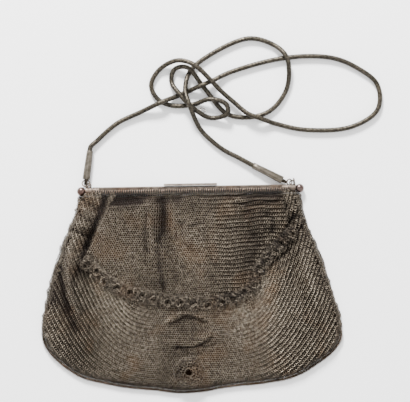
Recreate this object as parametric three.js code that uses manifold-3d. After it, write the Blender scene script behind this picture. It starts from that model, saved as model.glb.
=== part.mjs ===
// Ring-mesh purse lying on its back: a hollow mesh pocket under a hinged two-rail frame,
// a mesh flap with a pierced lace border, a lace rosette, and a long mesh-cord strap.
// Millimetres, +X to the viewer's right, +Y from the hem to the strap, +Z up from the surface.
// The origin is on the surface, at the middle of the purse without its strap.

import * as THREE from "three";
import * as BufferGeometryUtils from "three/addons/utils/BufferGeometryUtils.js";
import Module from "manifold-3d";

const wasm = await Module();
wasm.setup();

// Driving dimensions, all measured from the hinge line at the frame

const clearance = 0.3;         // between hard neighbours that touch
const meshWall = 1.2;          // thickness of one layer of ring mesh

const bagDrop = 134.4;         // hinge line down to the lowest point of the hem
const bagHalfWidth = 99.4;     // middle line out to the widest point of the sides
const mouthHalfWidth = 74.6;   // middle line out to the ends of the gathered mouth
const cornerDrop = 74.0;       // hinge line down to where the hem leaves the side folds
const mouthHeight = 7.0;       // surface up to the outside of the front layer at the mouth
const bellyHeight = 9.2;       // surface up to the outside of the front layer at its fullest
const edgeHeight = 1.7;        // height of the rounded outer edge above the surface
const edgeReach = 17;          // how far in from the edge the front layer reaches full height
const foldDepth = 4.2;         // height of the largest gathered fold
const foldWidth = 6.5;         // half width of the largest gathered fold

const cavityLeast = 1.2;       // least height between the two layers
const mouthOverrun = 2.0;      // how far the cut for the inside runs out of the mouth
const seamDiameter = 1.3;      // the rolled seam round the hem

const flapHalfWidth = 64.4;    // middle line out to the flap's lower corners, before the lace
const flapTopLeft = 51.0;      // middle line out to the upper left corner, drawn in by the gathers
const flapTopRight = 61.5;     // middle line out to the upper right corner
const flapDrop = 71.2;         // hinge line down to the flap's lowest point, above its lace
const flapGap = 0.5;           // between the flap and the pocket below it
const flapLoft = 1.8;          // how far the loose flap stands off in the middle
const laceWidth = 8.4;         // lace border, from the flap's edge to the scallop tips
const scallopDepth = 1.6;      // how far the scallops are cut in between their tips
const scallopCount = 20;
const laceHole = 2.5;          // diameter of the hole in each scallop

const rosetteDiameter = 20;
const rosetteHole = 3.4;
const rosetteHeight = 2.4;
const rosetteLobes = 9;
const rosetteDrop = 121.5;     // hinge line down to the rosette's middle

const railLength = 122;        // plain length between the hinge barrels
const railHeight = 5.4;        // seen from the front
const railThickness = 2.6;     // front to back, each rail
const railRise = 2.6;          // hinge line up to the top of the rails
const barrelDiameter = 5.3;
const knuckleLength = 4.4;     // each of the two knuckles of a hinge
const pinDiameter = 1.6;
const ballDiameter = 5.9;
const hingeHeight = 3.0;       // pin centre above the surface
const armThickness = 0.8;      // back rail's arm past the front rail's knuckle
const claspLength = 35.5;
const claspHeight = 1.4;
const claspDepth = 4.6;

const earDiameter = 3.0;       // strap ear on the hinge, centre line of its wire
const earWire = 0.9;
const linkDiameter = 3.8;      // jump ring, centre line of its wire
const linkWire = 0.8;
const linkHeight = 2.4;        // ears, jump rings and caps above the surface
const capLength = 19.6;        // folded sheet-metal sleeve at each end of the strap
const capWidth = 4.7;
const capMouthWidth = 4.0;
const capThickness = 3.0;
const tabLength = 3.6;         // the sleeve's narrow end with the eye
const tabWidth = 3.0;
const tabThickness = 0.9;
const leftPull = 85.5;         // degrees from +X to the way the left cap points
const rightPull = 152.9;       // degrees from +X to the way the right cap points

const strapDiameter = 3.0;
const strapSides = 8;
const strapSteps = 80;

// The mesh hangs just below the ball finials.
const mouthDrop = ballDiameter / 2 + clearance;

// Finishes

const meshMetal = { color: 0x655a4d, roughness: 0.55, metalness: 0.8 };
const flapMetal = { color: 0x64584f, roughness: 0.55, metalness: 0.8 };
const frameMetal = { color: 0x988d86, roughness: 0.38, metalness: 0.9 };
const claspMetal = { color: 0xc3bab2, roughness: 0.3, metalness: 0.9 };
const ballMetal = { color: 0x887c78, roughness: 0.25, metalness: 0.95 };
const strapMetal = { color: 0x585049, roughness: 0.6, metalness: 0.7 };

// Strap ears stand on the hinge barrels and are the frame's highest point.
const earY = barrelDiameter / 2 + earDiameter / 2 - earWire / 2;
const topOfFrame = earY + (earDiameter + earWire) / 2;

// The pieces are placed from the hinge line; the group shifts them to the purse's middle.
const purse = new THREE.Group();
purse.position.y = (bagDrop + seamDiameter + clearance - topOfFrame) / 2;

function addPiece(name, geometry, finish) {
  const piece = new THREE.Mesh(geometry, new THREE.MeshStandardMaterial(finish));
  piece.name = name;
  purse.add(piece);
  return piece;
}

// Solid helpers: merged triangle meshes to manifold solids and back

function toSolid(geometry) {
  const bare = geometry.clone();
  bare.deleteAttribute("normal");
  bare.deleteAttribute("uv");
  const merged = BufferGeometryUtils.mergeVertices(bare, 1e-4);
  const vertProperties = new Float32Array(merged.attributes.position.array);
  const triVerts = new Uint32Array(merged.index.array);
  return new wasm.Manifold(new wasm.Mesh({ numProp: 3, vertProperties, triVerts }));
}

function toGeometry(solid) {
  const mesh = solid.getMesh();
  const geometry = new THREE.BufferGeometry();
  geometry.setAttribute("position", new THREE.BufferAttribute(mesh.vertProperties, 3));
  geometry.setIndex(new THREE.BufferAttribute(mesh.triVerts, 1));
  geometry.computeVertexNormals();
  return geometry;
}

function meshOf(points, triangles) {
  const geometry = new THREE.BufferGeometry();
  geometry.setAttribute("position", new THREE.Float32BufferAttribute(points.flat(), 3));
  geometry.setIndex(triangles);
  geometry.computeVertexNormals();
  return geometry;
}

function mix(a, b, t) {
  return a + (b - a) * t;
}

function smooth(t) {
  const s = Math.min(1, Math.max(0, t));
  return s * s * (3 - 2 * s);
}

// Outline of the mesh pocket. The side folds run from the mouth's ends to the corners, and the
// hem goes round the bottom as a flattened superellipse.

const hemPower = 2.3;
const hemSteps = 48;
const hemReachAngle = 100 * Math.PI / 180;
const hemWaves = [
  // turn: share of the hem's reach to either side; out: shift outwards, share of the pocket's drop
  { turn: -1.00, out: 0.003 },
  { turn: -0.75, out: 0.006 },
  { turn: -0.58, out: 0.000 },
  { turn: -0.45, out: 0.008 },
  { turn: -0.33, out: -0.006 },
  { turn: -0.16, out: -0.010 },
  { turn: -0.05, out: 0.002 },
  { turn: 0.04, out: -0.004 },
  { turn: 0.11, out: -0.019 },
  { turn: 0.19, out: -0.025 },
  { turn: 0.28, out: -0.018 },
  { turn: 0.40, out: -0.003 },
  { turn: 0.55, out: -0.011 },
  { turn: 0.68, out: 0.001 },
  { turn: 0.75, out: 0.007 },
  { turn: 0.88, out: -0.010 },
  { turn: 1.00, out: -0.012 },
];
const sideBulge = [
  // down: share of the corner's drop; left, right: sideways shift, shares of the half width
  { down: 0.00, left: -0.010, right: -0.024 },
  { down: 0.18, left: -0.014, right: -0.040 },
  { down: 0.34, left: -0.002, right: -0.032 },
  { down: 0.48, left: 0.010, right: -0.016 },
  { down: 0.70, left: 0.022, right: -0.003 },
  { down: 0.88, left: 0.014, right: 0.000 },
  { down: 1.00, left: 0.000, right: 0.000 },
];

function sideShift(down, side) {
  const column = side < 0 ? "left" : "right";
  const t = Math.min(1, Math.max(0, down));
  let row = 0;
  while (row < sideBulge.length - 2 && sideBulge[row + 1].down < t) row += 1;
  const above = sideBulge[row];
  const below = sideBulge[row + 1];
  const share = smooth((t - above.down) / (below.down - above.down));
  return side * bagHalfWidth * mix(above[column], below[column], share);
}

// Angle of the hem's ends above the ellipse's middle, where |x| is a little under the full width
const hemMiddle = -bagDrop + (bagDrop - cornerDrop) * 0.74;
const hemHeight = bagDrop + hemMiddle;

function hemWave(angle) {
  const turn = Math.min(1, Math.max(-1, angle / hemReachAngle));
  let row = 0;
  while (row < hemWaves.length - 2 && hemWaves[row + 1].turn < turn) row += 1;
  const before = hemWaves[row];
  const after = hemWaves[row + 1];
  return bagDrop * mix(before.out, after.out, smooth((turn - before.turn) / (after.turn - before.turn)));
}

function hemAt(angle) {
  const across = Math.sin(angle);
  const down = Math.cos(angle);
  const reach = (Math.abs(across) ** hemPower + Math.abs(down) ** hemPower) ** (-1 / hemPower);
  const x = bagHalfWidth * reach * across;
  const y = hemHeight * reach * down;
  const grown = 1 + hemWave(angle) / Math.hypot(x, y);
  return [x * grown, hemMiddle - y * grown];
}

const hemEndAngle = Math.PI / 2 + Math.atan((-cornerDrop - hemMiddle) / hemHeight) * 0.9;
const hemTable = [];
for (let step = 0; step <= hemSteps * 4; step += 1) {
  hemTable.push(hemAt(mix(-hemEndAngle, hemEndAngle, step / (hemSteps * 4))));
}
const hemCurve = new THREE.CatmullRomCurve3(hemTable.map(([x, y]) => new THREE.Vector3(x, y, 0)));
hemCurve.arcLengthDivisions = hemSteps * 8;

function hem(u) {
  const point = hemCurve.getPointAt((u + 1) / 2);
  return [point.x, point.y];
}

// The gathered mouth takes more mesh near its ends than in its middle.
const gathering = 0.4;

function mouth(u) {
  const share = u + gathering * u * (1 - u * u);
  return [mouthHalfWidth * share, -mouthDrop];
}

function pocketPoint(u, v) {
  const top = mouth(u);
  const low = hem(u);
  const shift = sideShift(v, Math.sign(u) || 1) * Math.abs(u) ** 6;
  return [mix(top[0], low[0], v) + shift, mix(top[1], low[1], v)];
}

const outlineSteps = 24;
const outline = [];
for (let step = 0; step < outlineSteps; step += 1) outline.push(pocketPoint(-1, step / outlineSteps));
for (let step = 0; step < hemSteps; step += 1) outline.push(hem(mix(-1, 1, step / hemSteps)));
for (let step = 0; step <= outlineSteps; step += 1) outline.push(pocketPoint(1, 1 - step / outlineSteps));

function distanceTo(path, x, y) {
  let best = Infinity;
  for (let i = 0; i + 1 < path.length; i += 1) {
    const [ax, ay] = path[i];
    const [bx, by] = path[i + 1];
    const length2 = (bx - ax) ** 2 + (by - ay) ** 2;
    const along = length2 ? ((x - ax) * (bx - ax) + (y - ay) * (by - ay)) / length2 : 0;
    const t = Math.min(1, Math.max(0, along));
    best = Math.min(best, Math.hypot(x - mix(ax, bx, t), y - mix(ay, by, t)));
  }
  return best;
}

// Folds of the pocket's front. Each runs along a bow from a by b to c. The places are shares of
// the half width and the drop, wide and high are shares of the largest fold's width and depth.

const pocketFolds = [
  { name: "left gather", wide: 0.75, high: 0.85,
    ax: -0.72, ay: 0.04, bx: -0.71, by: 0.09, cx: -0.68, cy: 0.15 },
  { name: "left lobe", wide: 1.0, high: 1.0,
    ax: -0.76, ay: 0.17, bx: -0.81, by: 0.25, cx: -0.79, cy: 0.35 },
  { name: "left roll", wide: 0.7, high: 0.75,
    ax: -0.79, ay: 0.35, bx: -0.79, by: 0.48, cx: -0.71, cy: 0.62 },
  { name: "left outer crease", wide: 0.5, high: -0.45,
    ax: -0.87, ay: 0.33, bx: -0.88, by: 0.52, cx: -0.80, cy: 0.70 },
  { name: "right gather", wide: 0.7, high: 0.85,
    ax: 0.67, ay: 0.05, bx: 0.71, by: 0.10, cx: 0.70, cy: 0.16 },
  { name: "right pinch", wide: 0.4, high: -0.55,
    ax: 0.64, ay: 0.18, bx: 0.69, by: 0.20, cx: 0.77, cy: 0.19 },
  { name: "right roll", wide: 0.75, high: 0.75,
    ax: 0.72, ay: 0.23, bx: 0.73, by: 0.36, cx: 0.79, cy: 0.50 },
  { name: "right slant", wide: 0.45, high: 0.35,
    ax: 0.60, ay: 0.42, bx: 0.66, by: 0.34, cx: 0.70, cy: 0.27 },
  { name: "tongue arch", wide: 0.42, high: 0.5,
    ax: -0.15, ay: 0.67, bx: -0.04, by: 0.55, cx: 0.09, cy: 0.66 },
  { name: "tongue sag", wide: 0.42, high: 0.5,
    ax: -0.12, ay: 0.755, bx: 0.01, by: 0.80, cx: 0.11, cy: 0.72 },
];

// Folds of the flap, given the same way. They stand on the loft of the loose flap.
const flapFolds = [
  { name: "hollow under the frame", wide: 0.6, high: -0.6,
    ax: -0.62, ay: 0.045, bx: -0.47, by: 0.05, cx: -0.33, cy: 0.04 },
  { name: "rolled ridge", wide: 0.35, high: 0.35,
    ax: -0.58, ay: 0.088, bx: -0.50, by: 0.094, cx: -0.38, cy: 0.084 },
  { name: "long ridge", wide: 0.75, high: 0.7,
    ax: -0.29, ay: 0.07, bx: -0.25, by: 0.28, cx: -0.20, cy: 0.49 },
  { name: "long valley", wide: 0.6, high: -0.6,
    ax: -0.20, ay: 0.05, bx: -0.14, by: 0.22, cx: -0.13, cy: 0.46 },
  { name: "right crumple one", wide: 0.36, high: 0.3,
    ax: 0.33, ay: 0.06, bx: 0.46, by: 0.065, cx: 0.60, cy: 0.05 },
  { name: "right crumple two", wide: 0.36, high: 0.35,
    ax: 0.31, ay: 0.115, bx: 0.46, by: 0.12, cx: 0.61, cy: 0.10 },
  { name: "right crumple three", wide: 0.4, high: 0.35,
    ax: 0.34, ay: 0.17, bx: 0.47, by: 0.175, cx: 0.60, cy: 0.15 },
  { name: "right hollow", wide: 0.8, high: -0.4,
    ax: 0.44, ay: 0.24, bx: 0.50, by: 0.28, cx: 0.58, cy: 0.22 },
];

const bowSteps = 10;

function bowOf(fold) {
  const start = new THREE.Vector2(fold.ax * bagHalfWidth, -fold.ay * bagDrop);
  const middle = new THREE.Vector2(fold.bx * bagHalfWidth, -fold.by * bagDrop);
  const end = new THREE.Vector2(fold.cx * bagHalfWidth, -fold.cy * bagDrop);
  const bow = new THREE.QuadraticBezierCurve(start, middle, end);
  return bow.getPoints(bowSteps).map((point) => [point.x, point.y]);
}

for (const fold of [...pocketFolds, ...flapFolds]) fold.bow = bowOf(fold);

function foldsAt(folds, x, y) {
  let height = 0;
  for (const fold of folds) {
    const away = distanceTo(fold.bow, x, y) / (fold.wide * foldWidth);
    height += fold.high * foldDepth * Math.exp(-away * away);
  }
  return height;
}

// Height of the pocket's front layer, outside, at a place on it
const cavityFloor = 2 * meshWall + cavityLeast;

function pocketHeight(x, y) {
  const down = Math.min(1, Math.max(0, (-y - mouthDrop) / (bagDrop - mouthDrop)));
  const roof = mouthHeight + (bellyHeight - mouthHeight) * Math.sin(Math.PI * Math.min(1, down * 1.15));
  const inward = Math.min(1, distanceTo(outline, x, y) / edgeReach);
  const rise = Math.sqrt(1 - (1 - inward) ** 2);
  const fade = smooth(inward * 2.2);
  const full = Math.max(cavityFloor, roof + fade * foldsAt(pocketFolds, x, y));
  return edgeHeight + (full - edgeHeight) * rise;
}

// The pocket: an outer and an inner pillow, each with a raised front over a flat back

function pillow(inset, frontOf, backZ, edgeZ, columns, rows, above) {
  const points = [];
  const triangles = [];
  const shrinkU = 1 - inset / bagHalfWidth;
  const shrinkV = 1 - inset / bagDrop;
  const id = (i, j) => j * (columns + 1) + i;
  for (let j = 0; j <= rows; j += 1) {
    for (let i = 0; i <= columns; i += 1) {
      const u = mix(-shrinkU, shrinkU, i / columns);
      const v = (j / rows) * shrinkV;
      const [x, y] = pocketPoint(u, v);
      const rim = i === 0 || i === columns || j === rows;
      const z = rim ? edgeZ : frontOf(x, y);
      points.push([x, j === 0 ? y + above : y, z]);
    }
  }
  for (let j = 0; j < rows; j += 1) {
    for (let i = 0; i < columns; i += 1) {
      const [a, b, c, d] = [id(i, j), id(i + 1, j), id(i + 1, j + 1), id(i, j + 1)];
      triangles.push(a, d, b, b, d, c);
    }
  }
  // The rim runs down the left side, along the hem, up the right side and back along the mouth.
  const rim = [];
  for (let j = 0; j < rows; j += 1) rim.push(id(0, j));
  for (let i = 0; i < columns; i += 1) rim.push(id(i, rows));
  for (let j = rows; j > 0; j -= 1) rim.push(id(columns, j));
  for (let i = columns; i > 0; i -= 1) rim.push(id(i, 0));
  const first = points.length;
  const tuck = edgeZ - backZ;
  const flat = rim.map((index) => {
    const [x, y] = points[index];
    const pull = 1 - tuck / bagHalfWidth;
    const middleY = -bagDrop * 0.45;
    const onMouth = index < columns + 1;
    return [x * pull, onMouth ? y : middleY + (y - middleY) * pull];
  });
  for (const [x, y] of flat) points.push([x, y, backZ]);
  for (let k = 0; k < rim.length; k += 1) {
    const next = (k + 1) % rim.length;
    triangles.push(rim[k], first + k, rim[next], rim[next], first + k, first + next);
  }
  const contour = flat.map(([x, y]) => new THREE.Vector2(x, y));
  for (const [a, b, c] of THREE.ShapeUtils.triangulateShape(contour, [])) {
    triangles.push(first + a, first + c, first + b);
  }
  return meshOf(points, triangles);
}

const pocketColumns = 42;
const pocketRows = 27;
const outerPillow = toSolid(pillow(0, pocketHeight, 0, edgeHeight, pocketColumns, pocketRows, 0));
const innerColumns = 26;
const innerRows = 17;
const innerReach = bagHalfWidth / innerColumns;

// The inside's coarser grid keeps under the lowest place of the front around each of its points.
function innerFront(x, y) {
  let lowest = pocketHeight(x, y);
  for (const stepX of [-innerReach, 0, innerReach]) {
    for (const stepY of [-innerReach, 0, innerReach]) {
      lowest = Math.min(lowest, pocketHeight(x + stepX, y + stepY));
    }
  }
  return Math.max(lowest - meshWall, meshWall + cavityLeast / 2);
}

const innerPillow = toSolid(
  pillow(1.6 * meshWall, innerFront, meshWall, meshWall + cavityLeast / 3, innerColumns, innerRows, mouthOverrun),
);
addPiece("mesh_body", toGeometry(outerPillow.subtract(innerPillow)), meshMetal);

// The rolled seam that closes the hem

const seamOut = clearance + seamDiameter / 2;
const seamPoints = [];
for (let step = 0; step <= hemSteps; step += 1) {
  const [x, y] = hem(mix(-0.99, 0.99, step / hemSteps));
  const [nextX, nextY] = hem(mix(-0.99, 0.99, step / hemSteps) + 0.005);
  const run = Math.hypot(nextX - x, nextY - y);
  const outX = (nextY - y) / run;
  const outY = -(nextX - x) / run;
  seamPoints.push(new THREE.Vector3(x + outX * seamOut, y + outY * seamOut, edgeHeight));
}

function roundSection(diameter, sides) {
  const ring = [];
  for (let side = 0; side < sides; side += 1) {
    const angle = (side / sides) * 2 * Math.PI;
    ring.push(new THREE.Vector2(Math.cos(angle), Math.sin(angle)).multiplyScalar(diameter / 2));
  }
  return new THREE.Shape(ring);
}

// A smooth line through the points that never dips under the lowest height it is given
class LaidCurve extends THREE.CatmullRomCurve3 {
  constructor(points, lowest) {
    super(points, false, "centripetal");
    this.lowest = lowest;
  }

  getPoint(t, target) {
    const point = super.getPoint(t, target);
    point.z = Math.max(point.z, this.lowest);
    return point;
  }
}

function tubeAlong(points, diameter, sides, steps) {
  const curve = new LaidCurve(points, diameter / 2);
  curve.arcLengthDivisions = steps * 20;
  return new THREE.ExtrudeGeometry(roundSection(diameter, sides), {
    extrudePath: curve,
    steps,
    bevelEnabled: false,
  });
}

addPiece("hem_seam", tubeAlong(seamPoints, seamDiameter, 6, 48), meshMetal);

// The flap and its lace border are sheets over the pocket's front. Both use the same map: u runs
// from the left edge to the right one, v from the frame to the flap's lower edge.

const flapEdge = [
  // across: share of the flap's half width; down: share of the flap's drop
  { across: -1.07, down: 0.585 },
  { across: -0.99, down: 0.655 },
  { across: -0.85, down: 0.775 },
  { across: -0.67, down: 0.875 },
  { across: -0.48, down: 0.925 },
  { across: -0.30, down: 0.960 },
  { across: -0.12, down: 0.985 },
  { across: 0.04, down: 0.995 },
  { across: 0.20, down: 1.000 },
  { across: 0.36, down: 0.975 },
  { across: 0.50, down: 0.930 },
  { across: 0.61, down: 0.830 },
  { across: 0.67, down: 0.690 },
  { across: 0.77, down: 0.565 },
  { across: 0.90, down: 0.455 },
  { across: 1.01, down: 0.330 },
];
const flapEdgeCurve = new THREE.CatmullRomCurve3(
  flapEdge.map((row) => new THREE.Vector3(row.across * flapHalfWidth, -row.down * flapDrop, 0)),
  false,
  "centripetal",
);

function flapPoint(u, v) {
  const low = flapEdgeCurve.getPointAt((u + 1) / 2);
  const top = u * mix(flapTopLeft, flapTopRight, (u + 1) / 2);
  return [mix(top, low.x, v), mix(-mouthDrop, low.y, v)];
}

const flapRimSteps = 16;
const flapRim = [];
for (let step = 0; step < flapRimSteps; step += 1) flapRim.push(flapPoint(-1, step / flapRimSteps));
for (let step = 0; step < hemSteps; step += 1) flapRim.push(flapPoint(mix(-1, 1, step / hemSteps), 1));
for (let step = 0; step <= flapRimSteps; step += 1) flapRim.push(flapPoint(1, 1 - step / flapRimSteps));
const loftReach = 12;
const restReach = 1.6;

// The flap rests on the highest part of the pocket close by.
function crestBelow(x, y) {
  let crest = pocketHeight(x, y);
  for (const [stepX, stepY] of [[1, 0], [0, 1], [-1, 0], [0, -1]]) {
    const near = pocketHeight(x + stepX * restReach, y + stepY * restReach);
    crest = Math.max(crest, near);
  }
  return crest;
}

function flapUnderside(x, y, inside) {
  const inward = inside ? smooth(distanceTo(flapRim, x, y) / loftReach) : 0;
  const fromFrame = smooth((-y - mouthDrop) / (loftReach / 3));
  const lift = Math.max(0, (flapLoft + foldsAt(flapFolds, x, y)) * inward * fromFrame);
  return crestBelow(x, y) + flapGap + lift;
}

// A sheet of even thickness over a grid of places, closed along its four edges
function sheet(placeOf, underside, thickness, columns, rows) {
  const points = [];
  const triangles = [];
  const id = (i, j, layer) => (j * (columns + 1) + i) * 2 + layer;
  for (let j = 0; j <= rows; j += 1) {
    for (let i = 0; i <= columns; i += 1) {
      const [x, y] = placeOf(i / columns, j / rows);
      const z = underside(x, y);
      points.push([x, y, z], [x, y, z + thickness]);
    }
  }
  for (let j = 0; j < rows; j += 1) {
    for (let i = 0; i < columns; i += 1) {
      for (const layer of [0, 1]) {
        const [a, b] = [id(i, j, layer), id(i + 1, j, layer)];
        const [c, d] = [id(i + 1, j + 1, layer), id(i, j + 1, layer)];
        if (layer) triangles.push(a, d, b, b, d, c);
        else triangles.push(a, b, d, b, c, d);
      }
    }
  }
  const wall = (low1, low2, high1, high2) => triangles.push(low1, low2, high1, low2, high2, high1);
  for (let i = 0; i < columns; i += 1) {
    wall(id(i + 1, 0, 0), id(i, 0, 0), id(i + 1, 0, 1), id(i, 0, 1));
    wall(id(i, rows, 0), id(i + 1, rows, 0), id(i, rows, 1), id(i + 1, rows, 1));
  }
  for (let j = 0; j < rows; j += 1) {
    wall(id(0, j, 0), id(0, j + 1, 0), id(0, j, 1), id(0, j + 1, 1));
    wall(id(columns, j + 1, 0), id(columns, j, 0), id(columns, j + 1, 1), id(columns, j, 1));
  }
  return meshOf(points, triangles);
}

addPiece(
  "mesh_flap",
  sheet((s, t) => flapPoint(mix(-1, 1, s), t), (x, y) => flapUnderside(x, y, true), meshWall, 30, 13),
  flapMetal,
);

// Lace border: a scalloped band along the flap's lower edge, with a round hole in each scallop

function lacePoint(s, across) {
  const share = mix(0.004, 0.996, s);
  const edge = flapEdgeCurve.getPointAt(share);
  const along = flapEdgeCurve.getTangentAt(share);
  return [edge.x + along.y * across, edge.y - along.x * across];
}

function scallopReach(s) {
  const phase = Math.abs(Math.sin(Math.PI * scallopCount * s));
  return laceWidth - scallopDepth * (1 - phase);
}

const laceSheet = toSolid(
  sheet(
    (s, t) => lacePoint(s, mix(clearance, scallopReach(s), t)),
    (x, y) => flapUnderside(x, y, false),
    meshWall,
    scallopCount * 4,
    1,
  ),
);
const punchHeight = 4 * bellyHeight;
let lace = laceSheet;
for (let scallop = 0; scallop < scallopCount; scallop += 1) {
  const [x, y] = lacePoint((scallop + 0.5) / scallopCount, laceWidth * 0.56);
  const punch = new THREE.CylinderGeometry(laceHole / 2, laceHole / 2, punchHeight, 6);
  punch.rotateX(Math.PI / 2);
  punch.translate(x, y, 0);
  lace = lace.subtract(toSolid(punch));
}
addPiece("lace_border", toGeometry(lace), flapMetal);

// Rosette: raised rings round a small hole, with a lobed rim, seated on the slope of the front

const rosetteX = -3.0;
const ringCount = 3;

function rosetteGeometry() {
  const radius = rosetteDiameter / 2;
  const hole = rosetteHole / 2;
  const profile = [new THREE.Vector2(hole, 0)];
  profile.push(new THREE.Vector2(radius, 0));
  profile.push(new THREE.Vector2(radius, meshWall * 0.8));
  for (let ring = ringCount; ring > 0; ring -= 1) {
    const outer = mix(hole, radius, ring / ringCount);
    const inner = mix(hole, radius, (ring - 1) / ringCount);
    profile.push(new THREE.Vector2(mix(outer, inner, 0.45), rosetteHeight - ring * 0.25));
    profile.push(new THREE.Vector2(mix(outer, inner, ring === 1 ? 1 : 0.92), meshWall * 0.8));
  }
  profile.push(new THREE.Vector2(hole, 0));
  const geometry = new THREE.LatheGeometry(profile, rosetteLobes * 3);
  const position = geometry.attributes.position;
  for (let index = 0; index < position.count; index += 1) {
    const point = new THREE.Vector3().fromBufferAttribute(position, index);
    const away = Math.hypot(point.x, point.z);
    if (away > hole * 1.5) {
      const lobe = 1 + 0.07 * Math.cos(rosetteLobes * Math.atan2(point.z, point.x));
      position.setXYZ(index, point.x * lobe, point.y, point.z * lobe);
    }
  }
  geometry.rotateX(Math.PI / 2);
  return geometry;
}

function slopeAt(x, y, span) {
  const alongX = (pocketHeight(x + span, y) - pocketHeight(x - span, y)) / (2 * span);
  const alongY = (pocketHeight(x, y + span) - pocketHeight(x, y - span)) / (2 * span);
  return new THREE.Vector3(-alongX, -alongY, 1).normalize();
}

const rosette = addPiece("rosette", rosetteGeometry(), flapMetal);
const rosetteLean = slopeAt(rosetteX, -rosetteDrop, rosetteDiameter / 2);
rosette.quaternion.setFromUnitVectors(new THREE.Vector3(0, 0, 1), rosetteLean);

function rosetteSeat() {
  const turn = new THREE.Matrix4().makeRotationFromQuaternion(rosette.quaternion);
  let seat = 0;
  for (let ring = 0; ring <= 6; ring += 1) {
    for (let spoke = 0; spoke < 24; spoke += 1) {
      const angle = (spoke / 24) * 2 * Math.PI;
      const away = (ring / 6) * (rosetteDiameter / 2) * 1.07;
      const foot = new THREE.Vector3(Math.cos(angle) * away, Math.sin(angle) * away, 0);
      foot.applyMatrix4(turn);
      const under = pocketHeight(rosetteX + foot.x, -rosetteDrop + foot.y);
      seat = Math.max(seat, under - foot.z);
    }
  }
  return seat + clearance;
}

rosette.position.set(rosetteX, -rosetteDrop, rosetteSeat());

// Frame: two rails side by side, each with a knuckle at both ends

const railLow = railRise - railHeight;
const halfRail = railLength / 2;
const railRound = 0.6;

function railBar(lowZ) {
  const section = new THREE.Shape();
  const high = lowZ + railThickness;
  section.moveTo(lowZ + railRound, railLow);
  section.lineTo(high - railRound, railLow);
  section.lineTo(high, railLow + railRound);
  section.lineTo(high, railRise - railRound);
  section.lineTo(high - railRound, railRise);
  section.lineTo(lowZ + railRound, railRise);
  section.lineTo(lowZ, railRise - railRound);
  section.lineTo(lowZ, railLow + railRound);
  section.closePath();
  const bar = new THREE.ExtrudeGeometry(section, { depth: railLength, bevelEnabled: false });
  bar.rotateY(-Math.PI / 2);
  bar.translate(halfRail, 0, 0);
  return toSolid(bar);
}

function alongX(diameter, fromX, toX, sides) {
  const rod = new THREE.CylinderGeometry(diameter / 2, diameter / 2, toX - fromX, sides);
  rod.rotateZ(Math.PI / 2);
  rod.translate((fromX + toX) / 2, 0, hingeHeight);
  return toSolid(rod);
}

function block(sizeX, sizeY, sizeZ, x, y, z) {
  const geometry = new THREE.BoxGeometry(sizeX, sizeY, sizeZ);
  geometry.translate(x, y, z);
  return toSolid(geometry);
}

const boreDiameter = pinDiameter + 2 * clearance;
const innerKnuckle = [halfRail, halfRail + knuckleLength];
const outerKnuckle = [innerKnuckle[1] + clearance, innerKnuckle[1] + clearance + knuckleLength];
const frontLowZ = hingeHeight + clearance / 2;
const backLowZ = hingeHeight - clearance / 2 - railThickness;
const earX = outerKnuckle[1] - earDiameter / 2 - earWire / 2 - 0.2;

// The pin's bore goes on into each bar, so that the pin can stop inside it.
const pinDepth = 3;

function knuckles(solid, [fromX, toX]) {
  let joined = solid;
  for (const side of [-1, 1]) {
    const near = Math.min(side * fromX, side * toX);
    joined = joined.add(alongX(barrelDiameter, near, near + knuckleLength, 16));
  }
  return joined;
}

function boreThrough(solid) {
  let bored = solid;
  for (const side of [-1, 1]) {
    const from = side * (halfRail - pinDepth);
    const to = side * (outerKnuckle[1] + 1);
    bored = bored.subtract(alongX(boreDiameter, Math.min(from, to), Math.max(from, to), 10));
  }
  return bored;
}

let frontRail = knuckles(railBar(frontLowZ), innerKnuckle);
const armTop = backLowZ + armThickness;
for (const side of [-1, 1]) {
  const middle = (side * (innerKnuckle[0] + innerKnuckle[1])) / 2;
  const cut = armTop + clearance;
  frontRail = frontRail.subtract(
    block(knuckleLength + 2 * clearance, barrelDiameter * 2, 2 * cut, middle, 0, 0),
  );
}
addPiece("rail_front", toGeometry(boreThrough(frontRail)), frameMetal);

function ringSolid(centreDiameter, wire, sides, wireSides) {
  const profile = [];
  for (let step = 0; step <= wireSides; step += 1) {
    const angle = (step / wireSides) * 2 * Math.PI;
    const away = centreDiameter / 2 + (wire / 2) * Math.cos(angle);
    profile.push(new THREE.Vector2(away, (wire / 2) * Math.sin(angle)));
  }
  return new THREE.LatheGeometry(profile, sides);
}

let backRail = knuckles(railBar(backLowZ), outerKnuckle);
const armReach = outerKnuckle[0] + knuckleLength / 2 - halfRail;
for (const side of [-1, 1]) {
  const armX = side * (halfRail + armReach / 2 - 0.5);
  backRail = backRail.add(
    block(armReach + 1, railHeight * 0.6, armThickness, armX, 0, backLowZ + armThickness / 2),
  );
  const ear = ringSolid(earDiameter, earWire, 14, 6);
  ear.rotateX(Math.PI / 2);
  ear.translate(side * earX, earY, linkHeight);
  backRail = backRail.add(toSolid(ear));
}
addPiece("rail_back", toGeometry(boreThrough(backRail)), frameMetal);

// Clasp: a thin bar along the middle of the frame that holds both rails together
const clasp = new THREE.BoxGeometry(claspLength, claspHeight, claspDepth);
const claspPiece = addPiece("clasp_bar", clasp, claspMetal);
claspPiece.position.set(0, railRise + clearance + claspHeight / 2, hingeHeight);

// Hinge pins with a ball finial on the outer end

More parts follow.
